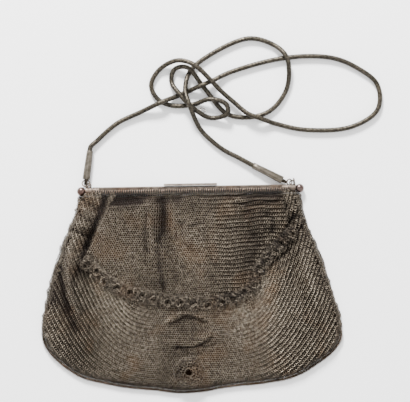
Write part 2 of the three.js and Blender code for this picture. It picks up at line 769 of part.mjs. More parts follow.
function pinGeometry() {
  const ball = ballDiameter / 2;
  const pin = pinDiameter / 2;
  const shank = outerKnuckle[1] + clearance - (halfRail - pinDepth + clearance);
  const profile = [new THREE.Vector2(0, 0), new THREE.Vector2(pin, 0), new THREE.Vector2(pin, shank)];
  const seat = pin * 1.9;
  profile.push(new THREE.Vector2(seat, shank));
  const start = Math.asin(seat / ball);
  for (let step = 1; step < 7; step += 1) {
    const angle = mix(start, Math.PI, step / 7);
    const along = shank + ball * (Math.cos(start) - Math.cos(angle));
    profile.push(new THREE.Vector2(ball * Math.sin(angle), along));
  }
  profile.push(new THREE.Vector2(0, shank + ball * (Math.cos(start) + 1)));
  return new THREE.LatheGeometry(profile, 12);
}

for (const [name, side] of [["hinge_pin_left", -1], ["hinge_pin_right", 1]]) {
  const pin = addPiece(name, pinGeometry(), ballMetal);
  pin.rotation.z = (-side * Math.PI) / 2;
  pin.position.set(side * (halfRail - pinDepth + clearance), 0, hingeHeight);
}

// Strap ends: a jump ring through each ear and through the eye of a folded cap

const linkAway = earDiameter / 2 - earWire / 2 - clearance - linkWire / 2 + linkDiameter / 2;
const eyeDiameter = linkWire + 4 * clearance;
const eyeAway = linkAway + linkDiameter / 2;
const tabStart = eyeAway - eyeDiameter / 2 - 0.9;
const sleeveStart = tabStart + tabLength;
const capMouth = sleeveStart + capLength;

function capGeometry() {
  // Plan outline along +X, from the eye's end to the sleeve's mouth
  const tab = new THREE.Shape();
  tab.moveTo(tabStart, -tabWidth / 2 + 0.6);
  tab.lineTo(tabStart + 0.6, -tabWidth / 2);
  tab.lineTo(sleeveStart - 0.5, -tabWidth / 2);
  tab.lineTo(sleeveStart + 1.0, -capWidth / 2 + 0.3);
  tab.lineTo(sleeveStart + 1.0, capWidth / 2 - 0.3);
  tab.lineTo(sleeveStart - 0.5, tabWidth / 2);
  tab.lineTo(tabStart + 0.6, tabWidth / 2);
  tab.lineTo(tabStart, tabWidth / 2 - 0.6);
  tab.closePath();
  const plate = new THREE.ExtrudeGeometry(tab, { depth: tabThickness, bevelEnabled: false });
  plate.translate(0, 0, -tabThickness / 2);

  // The sleeve narrows evenly to its mouth: a flat hexagon at each end
  const hexagon = (x, width) => {
    const flat = width / 2;
    const deep = capThickness / 2;
    return [
      [x, -flat, 0], [x, -flat * 0.55, -deep], [x, flat * 0.55, -deep],
      [x, flat, 0], [x, flat * 0.55, deep], [x, -flat * 0.55, deep],
    ];
  };
  const points = [...hexagon(sleeveStart, capWidth), ...hexagon(capMouth, capMouthWidth)];
  const triangles = [];
  for (let side = 0; side < 6; side += 1) {
    const next = (side + 1) % 6;
    triangles.push(side, next, 6 + side, next, 6 + next, 6 + side);
  }
  for (let corner = 1; corner < 5; corner += 1) {
    triangles.push(0, corner + 1, corner);
    triangles.push(6, 6 + corner, 6 + corner + 1);
  }
  const eye = new THREE.CylinderGeometry(eyeDiameter / 2, eyeDiameter / 2, 4 * tabThickness, 10);
  eye.rotateX(Math.PI / 2);
  eye.translate(eyeAway, 0, 0);
  return toGeometry(toSolid(plate).add(toSolid(meshOf(points, triangles))).subtract(toSolid(eye)));
}

function strapEnd(side, pull) {
  const angle = THREE.MathUtils.degToRad(pull);
  const along = new THREE.Vector3(Math.cos(angle), Math.sin(angle), 0);
  const ear = new THREE.Vector3(side * earX, earY, linkHeight);
  return { angle, along, ear, mouth: ear.clone().addScaledVector(along, capMouth) };
}

const ends = {
  left: strapEnd(-1, leftPull),
  right: strapEnd(1, rightPull),
};

for (const [name, end] of Object.entries(ends)) {
  const ringGeometry = ringSolid(linkDiameter, linkWire, 16, 6);
  const link = addPiece(`jump_ring_${name}`, ringGeometry, frameMetal);
  link.rotation.z = end.angle;
  link.position.copy(end.ear).addScaledVector(end.along, linkAway);
  const cap = addPiece(`end_cap_${name}`, capGeometry(), frameMetal);
  cap.rotation.z = end.angle;
  cap.position.copy(end.ear);
}

// Strap: a round cord of fine ring mesh that lies loose above the frame, from the left cap to the
// right one. x and y are chosen by hand, from the hinge line. layer counts the cords beneath:
// 0 lies on the surface, 1 on top of one cord, 2 on top of two.

const strapRoute = [
  [-58.5, 38.0, 0], [-37.0, 49.8, 0.1], [-17.6, 59.3, 1], [-8.0, 62.8, 0], [-1.0, 65.7, 0],
  [9.3, 69.9, 1], [15.8, 72.6, 0.6], [27.7, 78.2, 0], [65.1, 87.3, 0], [95.5, 86.9, 0],
  [112.0, 80.3, 0], [126.0, 68.5, 0], [126.0, 51.8, 0], [108.4, 40.5, 0], [77.0, 39.0, 0],
  [57.3, 43.5, 0], [46.6, 47.2, 1], [39.0, 50.3, 1], [30.0, 58.0, 0.6], [21.7, 65.4, 0.9],
  [15.0, 72.4, 1.7], [3.2, 83.4, 2.05], [-7.9, 86.3, 1.1], [-19.9, 80.3, 0], [-25.2, 70.3, 0],
  [-20.8, 61.0, 0], [-11.3, 56.5, 0], [3.0, 57.2, 0], [14.2, 60.2, 1], [24.4, 57.0, 1],
  [25.6, 50.6, 1.05], [14.3, 47.9, 0.1], [2.2, 54.8, 1.05], [-5.9, 63.6, 1.05], [-11.6, 72.7, 0],
  [-9.4, 80.7, 0], [-0.8, 81.6, 1], [10.0, 68.4, 0], [25.1, 50.6, 0], [39.4, 47.9, 0],
  [54.4, 52.3, 0], [65.0, 65.6, 0], [67.0, 80.5, 0.7], [65.0, 88.6, 1], [57.0, 96.2, 0],
  [40.1, 100.6, 0], [10.4, 87.6, 0], [0.6, 78.6, 0], [-2.4, 66.6, 1.05], [0.2, 56.8, 2.1],
  [7.0, 40.9, 0], [15.6, 32.8, 0], [28.2, 25.6, 0],
];
const strapTurnIn = 5;         // straight run out of each cap

function strapPoint([x, y, layer]) {
  return new THREE.Vector3(x, y, strapDiameter / 2 + layer * (strapDiameter + clearance));
}

function strapExit(end) {
  return end.mouth.clone().addScaledVector(end.along, clearance);
}

const strapPoints = [
  strapExit(ends.left),
  strapExit(ends.left).addScaledVector(ends.left.along, strapTurnIn).setZ(strapDiameter / 2 + 0.3),
  ...strapRoute.map(strapPoint),
  strapExit(ends.right).addScaledVector(ends.right.along, strapTurnIn).setZ(strapDiameter / 2 + 0.3),
  strapExit(ends.right),
];
addPiece("strap_cord", tubeAlong(strapPoints, strapDiameter, strapSides, strapSteps), strapMetal);

export default purse;
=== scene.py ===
import math

import bmesh
import bpy
import numpy as np
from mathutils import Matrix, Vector
from mathutils.bvhtree import BVHTree


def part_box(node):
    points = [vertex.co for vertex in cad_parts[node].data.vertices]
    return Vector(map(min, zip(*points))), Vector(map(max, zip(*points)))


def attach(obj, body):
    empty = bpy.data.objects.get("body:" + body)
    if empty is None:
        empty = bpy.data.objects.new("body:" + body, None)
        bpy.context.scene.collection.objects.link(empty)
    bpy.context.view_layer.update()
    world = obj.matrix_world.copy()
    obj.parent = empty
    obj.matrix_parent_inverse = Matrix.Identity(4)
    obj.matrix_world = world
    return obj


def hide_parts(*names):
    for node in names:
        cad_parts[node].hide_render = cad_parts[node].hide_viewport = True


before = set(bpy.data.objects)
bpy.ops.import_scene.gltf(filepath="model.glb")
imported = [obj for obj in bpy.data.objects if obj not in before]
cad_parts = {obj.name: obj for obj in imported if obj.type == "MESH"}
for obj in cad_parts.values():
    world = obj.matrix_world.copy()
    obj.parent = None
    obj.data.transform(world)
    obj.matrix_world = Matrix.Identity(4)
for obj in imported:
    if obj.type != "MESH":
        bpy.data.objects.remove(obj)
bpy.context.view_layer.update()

# Camera. The purse lies on its back and is looked at from straight above, through a long lens,
# with its frame rising a little to the right.
PHOTO_WIDE = 410
MM = 0.001
PIXEL = 0.67 * MM
VIEW_ROLL = math.radians(0.9)
VIEW_HEIGHT = 1.15
VIEW_CENTRE = (9.6 * MM, 57.55 * MM)
SENSOR = 36.0

view_camera = bpy.data.cameras.new("view_camera")
view_camera.sensor_width = SENSOR
view_camera.lens = SENSOR * VIEW_HEIGHT / (PHOTO_WIDE * PIXEL)
view_camera.clip_start = 0.01
camera = bpy.data.objects.new("view_camera", view_camera)
camera.location = (VIEW_CENTRE[0], VIEW_CENTRE[1], VIEW_HEIGHT)
camera.rotation_euler = (0.0, 0.0, -VIEW_ROLL)
bpy.context.scene.collection.objects.link(camera)
bpy.context.scene.camera = camera


# Strap. A long round cord of fine knitted metal mesh, dark olive brown, lying loose above the
# frame. It leaves the left cap, makes its loops over and under itself, and ends in the right cap.
STRAP_DIAMETER = 3.3 * MM
STRAP_GAP = 0.3 * MM
STRAP_STEP = 0.5 * MM
STRAP_SIDES = 20
STRAP_INSIDE = 2.0 * MM
STRAP_TURN_IN = 2.5 * MM
SPLINE_STEPS = 40
KNIT_DEPTH = 0.13 * MM
KNIT_PITCH = 1.15 * MM
KNIT_AROUND = 5

# The rows are millimetres from the hinge line: x, y, and how many cords lie beneath.
strap_route = [
    (-62.1, 33.7, 0), (-54.0, 41.0, 0), (-47.1, 46.0, 0), (-32.2, 52.6, 0.2), (-17.8, 59.0, 1),
    (-8.0, 62.8, 0), (-1.0, 65.7, 0), (9.3, 69.9, 1), (15.8, 72.6, 0.6), (27.7, 78.2, 0),
    (65.1, 87.3, 0), (95.5, 86.9, 0),
    (112.0, 80.3, 0), (126.0, 68.5, 0), (126.0, 51.8, 0), (108.4, 40.5, 0), (77.0, 39.0, 0),
    (57.3, 43.5, 0), (46.6, 47.2, 1), (39.0, 50.3, 1), (30.0, 58.0, 0.6), (21.7, 65.4, 0.9),
    (15.0, 72.4, 1.7), (3.2, 83.4, 2.05), (-7.9, 86.3, 1.1), (-19.9, 80.3, 0), (-25.2, 70.3, 0),
    (-20.8, 61.0, 0), (-11.3, 56.5, 0), (3.0, 57.2, 0), (14.2, 60.2, 1), (24.4, 57.0, 1),
    (25.6, 50.6, 1.05), (14.3, 47.9, 0.1), (2.2, 54.8, 1.05), (-5.9, 63.6, 1.05), (-11.6, 72.7, 0),
    (-9.4, 80.7, 0), (-0.8, 81.6, 1), (10.0, 68.4, 0), (25.1, 50.6, 0), (39.4, 47.9, 0),
    (54.4, 52.3, 0), (65.0, 65.6, 0), (67.0, 80.5, 0.7), (65.0, 88.6, 1), (57.0, 96.2, 0),
    (40.1, 100.6, 0), (10.4, 87.6, 0), (0.6, 78.6, 0), (-2.4, 66.6, 1.05), (0.2, 56.8, 2.1),
    (7.0, 40.9, 0), (15.6, 31.8, 0), (23.5, 25.8, 0), (32.2, 21.2, 0.1),
]

right_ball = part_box("hinge_pin_right")
HINGE_Y = (right_ball[0][1] + right_ball[1][1]) / 2
HINGE_Z = (right_ball[0][2] + right_ball[1][2]) / 2
CAP_HEIGHT = 2.35 * MM
# Each cap's foot at the frame and its mouth at the strap, in millimetres from the hinge line
CAP_ENDS = {"left": ((-69.6, 7.9), (-66.8, 27.1)), "right": ((61.6, 5.5), (42.1, 15.7))}


def unit(vector):
    vector = np.asarray(vector, dtype=float)
    return vector / np.linalg.norm(vector)


def cap_line(side):
    """The foot and the mouth of a cap, and its direction."""
    foot, mouth = (np.array([x * MM, HINGE_Y + y * MM, CAP_HEIGHT]) for x, y in CAP_ENDS[side])
    return foot, mouth, unit(mouth - foot)


def strap_points():
    ends = []
    for side in ("left", "right"):
        _, mouth, along = cap_line(side)
        ends.append((mouth - along * STRAP_INSIDE, mouth + along * STRAP_TURN_IN))
    middle = []
    for x, y, layer in strap_route:
        height = STRAP_DIAMETER / 2 + layer * (STRAP_DIAMETER + STRAP_GAP)
        middle.append(np.array([x * MM, y * MM + HINGE_Y, height]))
    return [ends[0][0], ends[0][1]] + middle + [ends[1][1], ends[1][0]]


def smooth_line(points, step, lowest):
    """Centripetal spline through the points, walked in even steps, never under lowest."""
    points = [np.asarray(point, dtype=float) for point in points]
    first = points[0] * 2 - points[1]
    last = points[-1] * 2 - points[-2]
    points = [first] + points + [last]
    dense = []
    for a, b, c, d in zip(points, points[1:], points[2:], points[3:]):
        knots = [0.0]
        for p, q in ((a, b), (b, c), (c, d)):
            knots.append(knots[-1] + np.linalg.norm(q - p) ** 0.5)
        t0, t1, t2, t3 = knots
        for t in np.linspace(t1, t2, SPLINE_STEPS, endpoint=False):
            ab = ((t1 - t) * a + (t - t0) * b) / (t1 - t0)
            bc = ((t2 - t) * b + (t - t1) * c) / (t2 - t1)
            cd = ((t3 - t) * c + (t - t2) * d) / (t3 - t2)
            abc = ((t2 - t) * ab + (t - t0) * bc) / (t2 - t0)
            bcd = ((t3 - t) * bc + (t - t1) * cd) / (t3 - t1)
            dense.append(((t2 - t) * abc + (t - t1) * bcd) / (t2 - t1))
    dense.append(points[-2])
    dense = np.array(dense)
    dense[:, 2] = np.maximum(dense[:, 2], lowest)
    run = np.concatenate([[0.0], np.cumsum(np.linalg.norm(np.diff(dense, axis=0), axis=1))])
    walk = np.linspace(0.0, run[-1], int(round(run[-1] / step)) + 1)
    line = np.stack([np.interp(walk, run, dense[:, axis]) for axis in range(3)], axis=1)
    return line, run[-1]


def frames_along(line):
    """Tangent, side and up vectors along a line, with up kept near +Z."""
    tangent = np.gradient(line, axis=0)
    tangent /= np.linalg.norm(tangent, axis=1)[:, None]
    side = np.cross(np.array([0.0, 0.0, 1.0]), tangent)
    side /= np.linalg.norm(side, axis=1)[:, None]
    up = np.cross(tangent, side)
    return tangent, side, up


def mesh_object(name, vertices, faces):
    """A mesh object from arrays, all faces with the same number of corners."""
    vertices = np.asarray(vertices, dtype=np.float32)
    faces = np.asarray(faces, dtype=np.int32)
    corners = faces.shape[1]
    mesh = bpy.data.meshes.new(name)
    mesh.vertices.add(len(vertices))
    mesh.vertices.foreach_set("co", vertices.ravel())
    mesh.loops.add(faces.size)
    mesh.loops.foreach_set("vertex_index", faces.ravel())
    mesh.polygons.add(len(faces))
    mesh.polygons.foreach_set("loop_start", np.arange(0, faces.size, corners, dtype=np.int32))
    mesh.polygons.foreach_set("use_smooth", np.full(len(faces), True))
    mesh.update(calc_edges=True)
    mesh.validate()
    piece = bpy.data.objects.new(name, mesh)
    bpy.context.scene.collection.objects.link(piece)
    return piece


def tube_faces(rings, sides):
    """Quads that join rings of the same number of points into a tube."""
    first = np.arange(rings - 1)[:, None] * sides
    after = first + sides
    here = np.arange(sides)[None, :]
    there = (here + 1) % sides
    return np.stack([first + here, first + there, after + there, after + here], axis=-1).reshape(-1, 4)


strap_line, strap_length = smooth_line(strap_points(), STRAP_STEP, STRAP_DIAMETER / 2)


def knitted_tube(line):
    _, side, up = frames_along(line)
    turn = np.linspace(0.0, 2 * math.pi, STRAP_SIDES, endpoint=False)[None, :]
    run = np.arange(len(line))[:, None] * STRAP_STEP
    wave = 2 * math.pi * run / (KNIT_PITCH * 2)
    lean_right = np.cos(KNIT_AROUND * turn + wave)
    lean_left = np.cos(KNIT_AROUND * turn - wave)
    relief = np.maximum(lean_right, lean_left)
    radius = STRAP_DIAMETER / 2 - KNIT_DEPTH * (1.0 - relief)
    across = (radius * np.cos(turn))[:, :, None] * side[:, None, :]
    raised = (radius * np.sin(turn))[:, :, None] * up[:, None, :]
    points = line[:, None, :] + across + raised
    return points.reshape(-1, 3)


strap_faces = tube_faces(len(strap_line), STRAP_SIDES)
strap = mesh_object("mesh_strap", knitted_tube(strap_line), strap_faces[:, ::-1])


def close_ends(piece, sides):
    """Fill the two open ends of a tube made of rings."""
    shape = bmesh.new()
    shape.from_mesh(piece.data)
    shape.verts.ensure_lookup_table()
    shape.faces.new([shape.verts[i] for i in range(sides)])
    count = len(shape.verts)
    shape.faces.new([shape.verts[i] for i in range(count - 1, count - sides - 1, -1)])
    bmesh.ops.recalc_face_normals(shape, faces=shape.faces)
    shape.to_mesh(piece.data)
    shape.free()


def put(tree, kind, **values):
    """Adds a node. A value that is a socket is linked in, any other is set."""
    node = tree.nodes.new("ShaderNode" + kind)
    for key, value in values.items():
        name = key.replace("_", " ")
        socket = node.inputs.get(name) or node.inputs.get(name.title())
        if socket is None:
            setattr(node, key, value)
        elif isinstance(value, bpy.types.NodeSocket):
            tree.links.new(value, socket)
        else:
            socket.default_value = value
    return node


def stirred(tree, place, scale, detail=2.0, low=0.0, high=1.0, spread=(0.3, 0.7)):
    """Noise at one scale, stretched from the share spread to the range low to high."""
    noise = put(tree, "TexNoise", Vector=place, Scale=scale, Detail=detail)
    return put(tree, "MapRange", Value=noise.outputs["Fac"], From_Min=spread[0], From_Max=spread[1],
               To_Min=low, To_Max=high).outputs["Result"]


def blend(tree, share, a, b):
    """Mix of two colours, either of which may be a socket."""
    mix = tree.nodes.new("ShaderNodeMix")
    mix.data_type = "RGBA"
    for socket, value in ((mix.inputs[0], share), (mix.inputs[6], a), (mix.inputs[7], b)):
        if isinstance(value, bpy.types.NodeSocket):
            tree.links.new(value, socket)
        else:
            socket.default_value = value
    return mix.outputs[2]


def times(tree, a, b, clamp=False):
    """The product of two sockets."""
    product = put(tree, "Math", operation="MULTIPLY", use_clamp=clamp)
    tree.links.new(a, product.inputs[0])
    tree.links.new(b, product.inputs[1])
    return product.outputs[0]


def patina_group():
    """Old steel: brown tarnish, worn bright spots and rusty patches, all placed in the row frame."""
    tree = bpy.data.node_groups.new("patina", "ShaderNodeTree")
    for name in ("Dark", "Bright", "Rust"):
        tree.interface.new_socket(name, in_out="INPUT", socket_type="NodeSocketColor")
    for name in ("Wear", "Rust Share", "Fine Scale"):
        tree.interface.new_socket(name, in_out="INPUT", socket_type="NodeSocketFloat")
    tree.interface.new_socket("Color", in_out="OUTPUT", socket_type="NodeSocketColor")
    tree.interface.new_socket("Roughness", in_out="OUTPUT", socket_type="NodeSocketFloat")
    tree.interface.new_socket("Height", in_out="OUTPUT", socket_type="NodeSocketFloat")
    given = tree.nodes.new("NodeGroupInput")
    place = put(tree, "TexCoord").outputs["Object"]
    fine = put(tree, "TexNoise", Vector=place, Scale=given.outputs["Fine Scale"], Detail=2.0)
    spots = put(tree, "MapRange", Value=fine.outputs["Fac"], From_Min=0.34, From_Max=0.68)
    clouds = stirred(tree, place, 42.0, 3.0, 0.55, 1.25)
    worn = times(tree, spots.outputs["Result"], clouds)
    worn = times(tree, worn, given.outputs["Wear"], clamp=True)
    steel = blend(tree, worn, given.outputs["Dark"], given.outputs["Bright"])
    patches = stirred(tree, place, 60.0, 4.0, 0.0, 1.0, (0.52, 0.72))
    rusty = times(tree, patches, given.outputs["Rust Share"], clamp=True)
    colour = blend(tree, rusty, steel, given.outputs["Rust"])
    out = tree.nodes.new("NodeGroupOutput")
    tree.links.new(colour, out.inputs["Color"])
    tree.links.new(stirred(tree, place, 900.0, 2.0, 0.34, 0.62), out.inputs["Roughness"])
    tree.links.new(fine.outputs["Fac"], out.inputs["Height"])
    return tree


patina = patina_group()
# Near-black that surfaces are mixed towards: partly grime, partly painted shade in creases, hollows and
# between rows.
DARK_SOIL_AND_SHADE = (0.012, 0.009, 0.008, 1.0)
SOIL_AND_SHADE_COVER = 0.93
BUMP_DISTANCE = 0.3 * MM


def metal(name, dark, bright, rust, wear, rust_share, fine_scale, metallic=0.85, bump=0.1, dull=1.0,
          gleam=0.5):
    """A material of old metal in its own colours."""
    paint = bpy.data.materials.new(name)
    paint.use_nodes = True
    tree = paint.node_tree
    shader = tree.nodes["Principled BSDF"]
    aged = tree.nodes.new("ShaderNodeGroup")
    aged.node_tree = patina
    for socket, value in zip(aged.inputs, (dark, bright, rust, wear, rust_share, fine_scale)):
        socket.default_value = (*value, 1.0) if isinstance(value, tuple) else value
    # The darkening attribute mixes the colour towards near-black: grime, and painted shade laid into
    # creases, hollows and lowered rows.
    soiled_and_shaded = put(tree, "Attribute", attribute_name="soil_and_shade")
    dirt_and_shade = put(tree, "MapRange", Value=soiled_and_shaded.outputs["Fac"], To_Max=SOIL_AND_SHADE_COVER)
    colour = blend(tree, dirt_and_shade.outputs["Result"], aged.outputs["Color"], DARK_SOIL_AND_SHADE)
    tree.links.new(colour, shader.inputs["Base Color"])
    gloss = put(tree, "MapRange", Value=aged.outputs["Roughness"], To_Max=dull)
    tree.links.new(gloss.outputs["Result"], shader.inputs["Roughness"])
    shader.inputs["Metallic"].default_value = metallic
    shader.inputs["Specular IOR Level"].default_value = gleam
    bumped = put(tree, "Bump", Strength=bump, Distance=BUMP_DISTANCE, Height=aged.outputs["Height"])
    tree.links.new(bumped.outputs["Normal"], shader.inputs["Normal"])
    return paint


def dress(piece, paint):
    piece.data.materials.clear()
    piece.data.materials.append(paint)


STRAP_DARK, STRAP_BRIGHT, STRAP_RUST = (0.012, 0.01, 0.0075), (0.125, 0.107, 0.08), (0.04, 0.031, 0.013)
strap_metal = metal("strap_metal", STRAP_DARK, STRAP_BRIGHT, STRAP_RUST,
                    wear=0.55, rust_share=0.3, fine_scale=850.0, bump=0.2)
close_ends(strap, STRAP_SIDES)
dress(strap, strap_metal)
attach(strap, "root")
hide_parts("strap_cord")


# Ring mesh of the pocket. The real cloth is thousands of small steel rings, each linked through
# its four neighbours, in rows that lean one way and the next row the other way. The rows hang
# like smiles from the gathered corners and end at the hem. Under the rings lies a near-black
# sheet of painted shade, standing in for the dark inside of the pocket.
RING_RADIUS = 0.97 * MM
RING_WIRE = 0.43 * MM
RING_LEAN = math.radians(30)
COLUMN_PITCH = 1.55 * MM
ROW_PITCH = 1.33 * MM
RING_STEPS, WIRE_SIDES = 7, 3
BACK_STEPS = 6
GRID = 1.0 * MM
HOLLOW_DEPTH = 1.6 * MM
DEEPEN_PASSES = 50
HOLLOW_PASSES = 24
chance = np.random.default_rng(11)


class Relief:
    """Height of a CAD solid seen from above, softened, on an even grid of places."""

    def __init__(self, node, passes):
        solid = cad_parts[node]
        points = [vertex.co.copy() for vertex in solid.data.vertices]
        tree = BVHTree.FromPolygons(points, [tuple(face.vertices) for face in solid.data.polygons])
        low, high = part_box(node)
        margin = 6 * GRID
        # The odd shift keeps the rays off the solid's own edges.
        self.x = np.arange(low[0] - margin, high[0] + margin, GRID) + 0.0137 * MM
        self.y = np.arange(low[1] - margin, high[1] + margin, GRID) + 0.0171 * MM
        down = Vector((0.0, 0.0, -1.0))
        height = np.zeros((len(self.y), len(self.x)))
        inside = np.zeros_like(height)
        for j, y in enumerate(self.y):
            for i, x in enumerate(self.x):
                hit = tree.ray_cast(Vector((x, y, 1.0)), down)[0]
                if hit is not None:
                    height[j, i] = hit[2]
                    inside[j, i] = 1.0
        self.inside = inside > 0
        weight = inside.copy()
        value = height * inside
        for _ in range(passes):
            weight = self.blur(weight)
            value = self.blur(value)
        soft = value / np.maximum(weight, 1e-9)
        far = weight < 1e-6
        soft[far] = (low[2] + high[2]) / 2
        self.height = soft
        self.before = soft
        self.soil_and_shade = np.zeros_like(soft)
        self.renew()

    def deepen(self, gain):
        """Raise the crests and lower the hollows by a share of their own depth."""
        calm = self.height
        for _ in range(DEEPEN_PASSES):
            calm = self.blur(calm)
        self.height = self.height + gain * (self.height - calm)

    def renew(self):
        self.slope_y, self.slope_x = np.gradient(self.height, GRID)
        calm = self.height
        for _ in range(HOLLOW_PASSES):
            calm = self.blur(calm)
        self.hollow = np.clip((calm - self.height) / HOLLOW_DEPTH, -1.0, 1.0)

    def crumple(self, strokes):
        """Add folds: each is a bow of places from the hinge line, a half width, a height and a darkening,
        partly grime and partly painted shade in the creases.
        """
        x, y = np.meshgrid(self.x, self.y)
        for bow, wide, high, soil_and_shade in strokes:
            path = [(px * MM, HINGE_Y + py * MM) for px, py in bow]
            away = np.full(x.shape, 1e9)
            for (ax, ay), (bx, by) in zip(path, path[1:]):
                t = ((x - ax) * (bx - ax) + (y - ay) * (by - ay)) / ((bx - ax) ** 2 + (by - ay) ** 2)
                t = np.clip(t, 0, 1)
                away = np.minimum(away, np.hypot(x - ax - t * (bx - ax), y - ay - t * (by - ay)))
            shape = np.exp(-(away / (wide * MM)) ** 2)
            self.height = self.height + high * MM * shape
            self.soil_and_shade = np.maximum(self.soil_and_shade, soil_and_shade * shape)
        self.renew()

    @staticmethod
    def blur(field):
        padded = np.pad(field, 1, mode="edge")
        rows = (padded[:-2] + 2 * padded[1:-1] + padded[2:]) / 4
        return (rows[:, :-2] + 2 * rows[:, 1:-1] + rows[:, 2:]) / 4

    def sample(self, field, x, y):
        fx = np.clip((x - self.x[0]) / GRID, 0, len(self.x) - 1.001)
        fy = np.clip((y - self.y[0]) / GRID, 0, len(self.y) - 1.001)
        i, j = fx.astype(int), fy.astype(int)
        u, v = fx - i, fy - j
        near = field[j, i] * (1 - u) + field[j, i + 1] * u
        far = field[j + 1, i] * (1 - u) + field[j + 1, i + 1] * u
        return near * (1 - v) + far * v

    def at(self, x, y):
        return self.sample(self.height, x, y)

    def normal(self, x, y):
        across = self.sample(self.slope_x, x, y)
        up = self.sample(self.slope_y, x, y)
        normal = np.stack([-across, -up, np.ones_like(across)], axis=-1)
        return normal / np.linalg.norm(normal, axis=-1)[:, None]


def round_order(points, centre):
    """Places sorted into a loop round a centre."""
    angle = np.arctan2(points[:, 1] - centre[1], points[:, 0] - centre[0])
    return points[np.argsort(angle)]


def even_loop(points, step):
    """A closed loop walked in even steps."""
    closed = np.vstack([points, points[:1]])
    run = np.concatenate([[0.0], np.cumsum(np.linalg.norm(np.diff(closed, axis=0), axis=1))])
    walk = np.linspace(0.0, run[-1], int(round(run[-1] / step)), endpoint=False)
    return np.stack([np.interp(walk, run, closed[:, axis]) for axis in range(2)], axis=1)


def ways_along(loop):
    """The direction of a closed loop at each of its places."""
    ahead = np.roll(loop, -1, axis=0) - np.roll(loop, 1, axis=0)
    return ahead / np.linalg.norm(ahead, axis=1)[:, None]


def loop_distance(loop, x, y):
    """Distance from places to a closed loop, positive inside it."""
    best = np.full(len(x), 1e9)
    crossings = np.zeros(len(x), dtype=int)
    for (ax, ay), (bx, by) in zip(loop, np.roll(loop, -1, axis=0)):
        length2 = (bx - ax) ** 2 + (by - ay) ** 2
        t = np.clip(((x - ax) * (bx - ax) + (y - ay) * (by - ay)) / max(length2, 1e-15), 0, 1)
        best = np.minimum(best, np.hypot(x - ax - t * (bx - ax), y - ay - t * (by - ay)))
        spans = (ay > y) != (by > y)
        cross_x = ax + (y - ay) * (bx - ax) / (by - ay if by != ay else 1e-12)
        crossings += spans & (x < cross_x)
    return np.where(crossings % 2 == 1, best, -best)


def mark_soil_and_shade(piece, soil_and_shade):
    """Keep how dark each corner of a piece is made, for its material: grime, and painted shade in
    creases, hollows and lowered rows.
    """
    marks = piece.data.attributes.new("soil_and_shade", "FLOAT", "POINT")
    if soil_and_shade is not None:
        marks.data.foreach_set("value", np.ascontiguousarray(soil_and_shade, dtype=np.float32))


def ring_field(name, centre, normal, along, lean, radius=RING_RADIUS, wire=RING_WIRE, soil_and_shade=None,
               steps=RING_STEPS, sides=WIRE_SIDES):
    """Many small wire rings in one mesh. Each leans along its row by the angle in lean."""
    count = len(centre)
    along = along - normal * np.sum(along * normal, axis=1)[:, None]
    along /= np.linalg.norm(along, axis=1)[:, None]
    across = np.cross(normal, along)
    lean = np.broadcast_to(lean, count)[:, None]
    axis = normal * np.cos(lean) + along * np.sin(lean)
    side = np.cross(axis, across)
    size = np.broadcast_to(radius, count)[:, None, None, None]
    thick = np.broadcast_to(wire, count)[:, None, None, None] / 2
    turn = np.linspace(0, 2 * math.pi, steps, endpoint=False)[None, :, None, None]
    roll = np.linspace(0, 2 * math.pi, sides, endpoint=False)[None, None, :, None]
    reach = size + thick * np.cos(roll)
    spoke = np.cos(turn) * across[:, None, None, :] + np.sin(turn) * side[:, None, None, :]
    points = centre[:, None, None, :] + reach * spoke
    points = points + thick * np.sin(roll) * axis[:, None, None, :]
    i = np.arange(steps)[:, None]
    k = np.arange(sides)[None, :]
    after_i, after_k = (i + 1) % steps, (k + 1) % sides
    quad = np.stack(np.broadcast_arrays(
        i * sides + k, after_i * sides + k,
        after_i * sides + after_k, i * sides + after_k), axis=-1).reshape(-1, 4)
    first = np.arange(count)[:, None, None] * (steps * sides)
    faces = (first + quad[None]).reshape(-1, 4)
    piece = mesh_object(name, points.reshape(-1, 3), faces)
    mark_soil_and_shade(piece, np.repeat(soil_and_shade, steps * sides) if soil_and_shade is not None else None)
    # One small cell of the texture sheet for each ring
    cells = int(math.ceil(math.sqrt(count)))
    u = np.stack(np.broadcast_arrays(i, i + 1, i + 1, i), axis=-1) / steps
    v = np.stack(np.broadcast_arrays(k, k, k + 1, k + 1), axis=-1) / sides
    u = np.broadcast_to(u, (steps, sides, 4)).reshape(-1)
    v = np.broadcast_to(v, (steps, sides, 4)).reshape(-1)
    cell_x = (np.arange(count) % cells)[:, None]
    cell_y = (np.arange(count) // cells)[:, None]
    uv = np.stack([(cell_x + 0.1 + 0.8 * u[None]) / cells, (cell_y + 0.1 + 0.8 * v[None]) / cells], -1)
    layer = piece.data.uv_layers.new(name="OFBake")
    layer.data.foreach_set("uv", uv.astype(np.float32).ravel())
    return piece


# Below this height a solid belongs to the back layer.
BACK_LAYER = 1.3 * MM


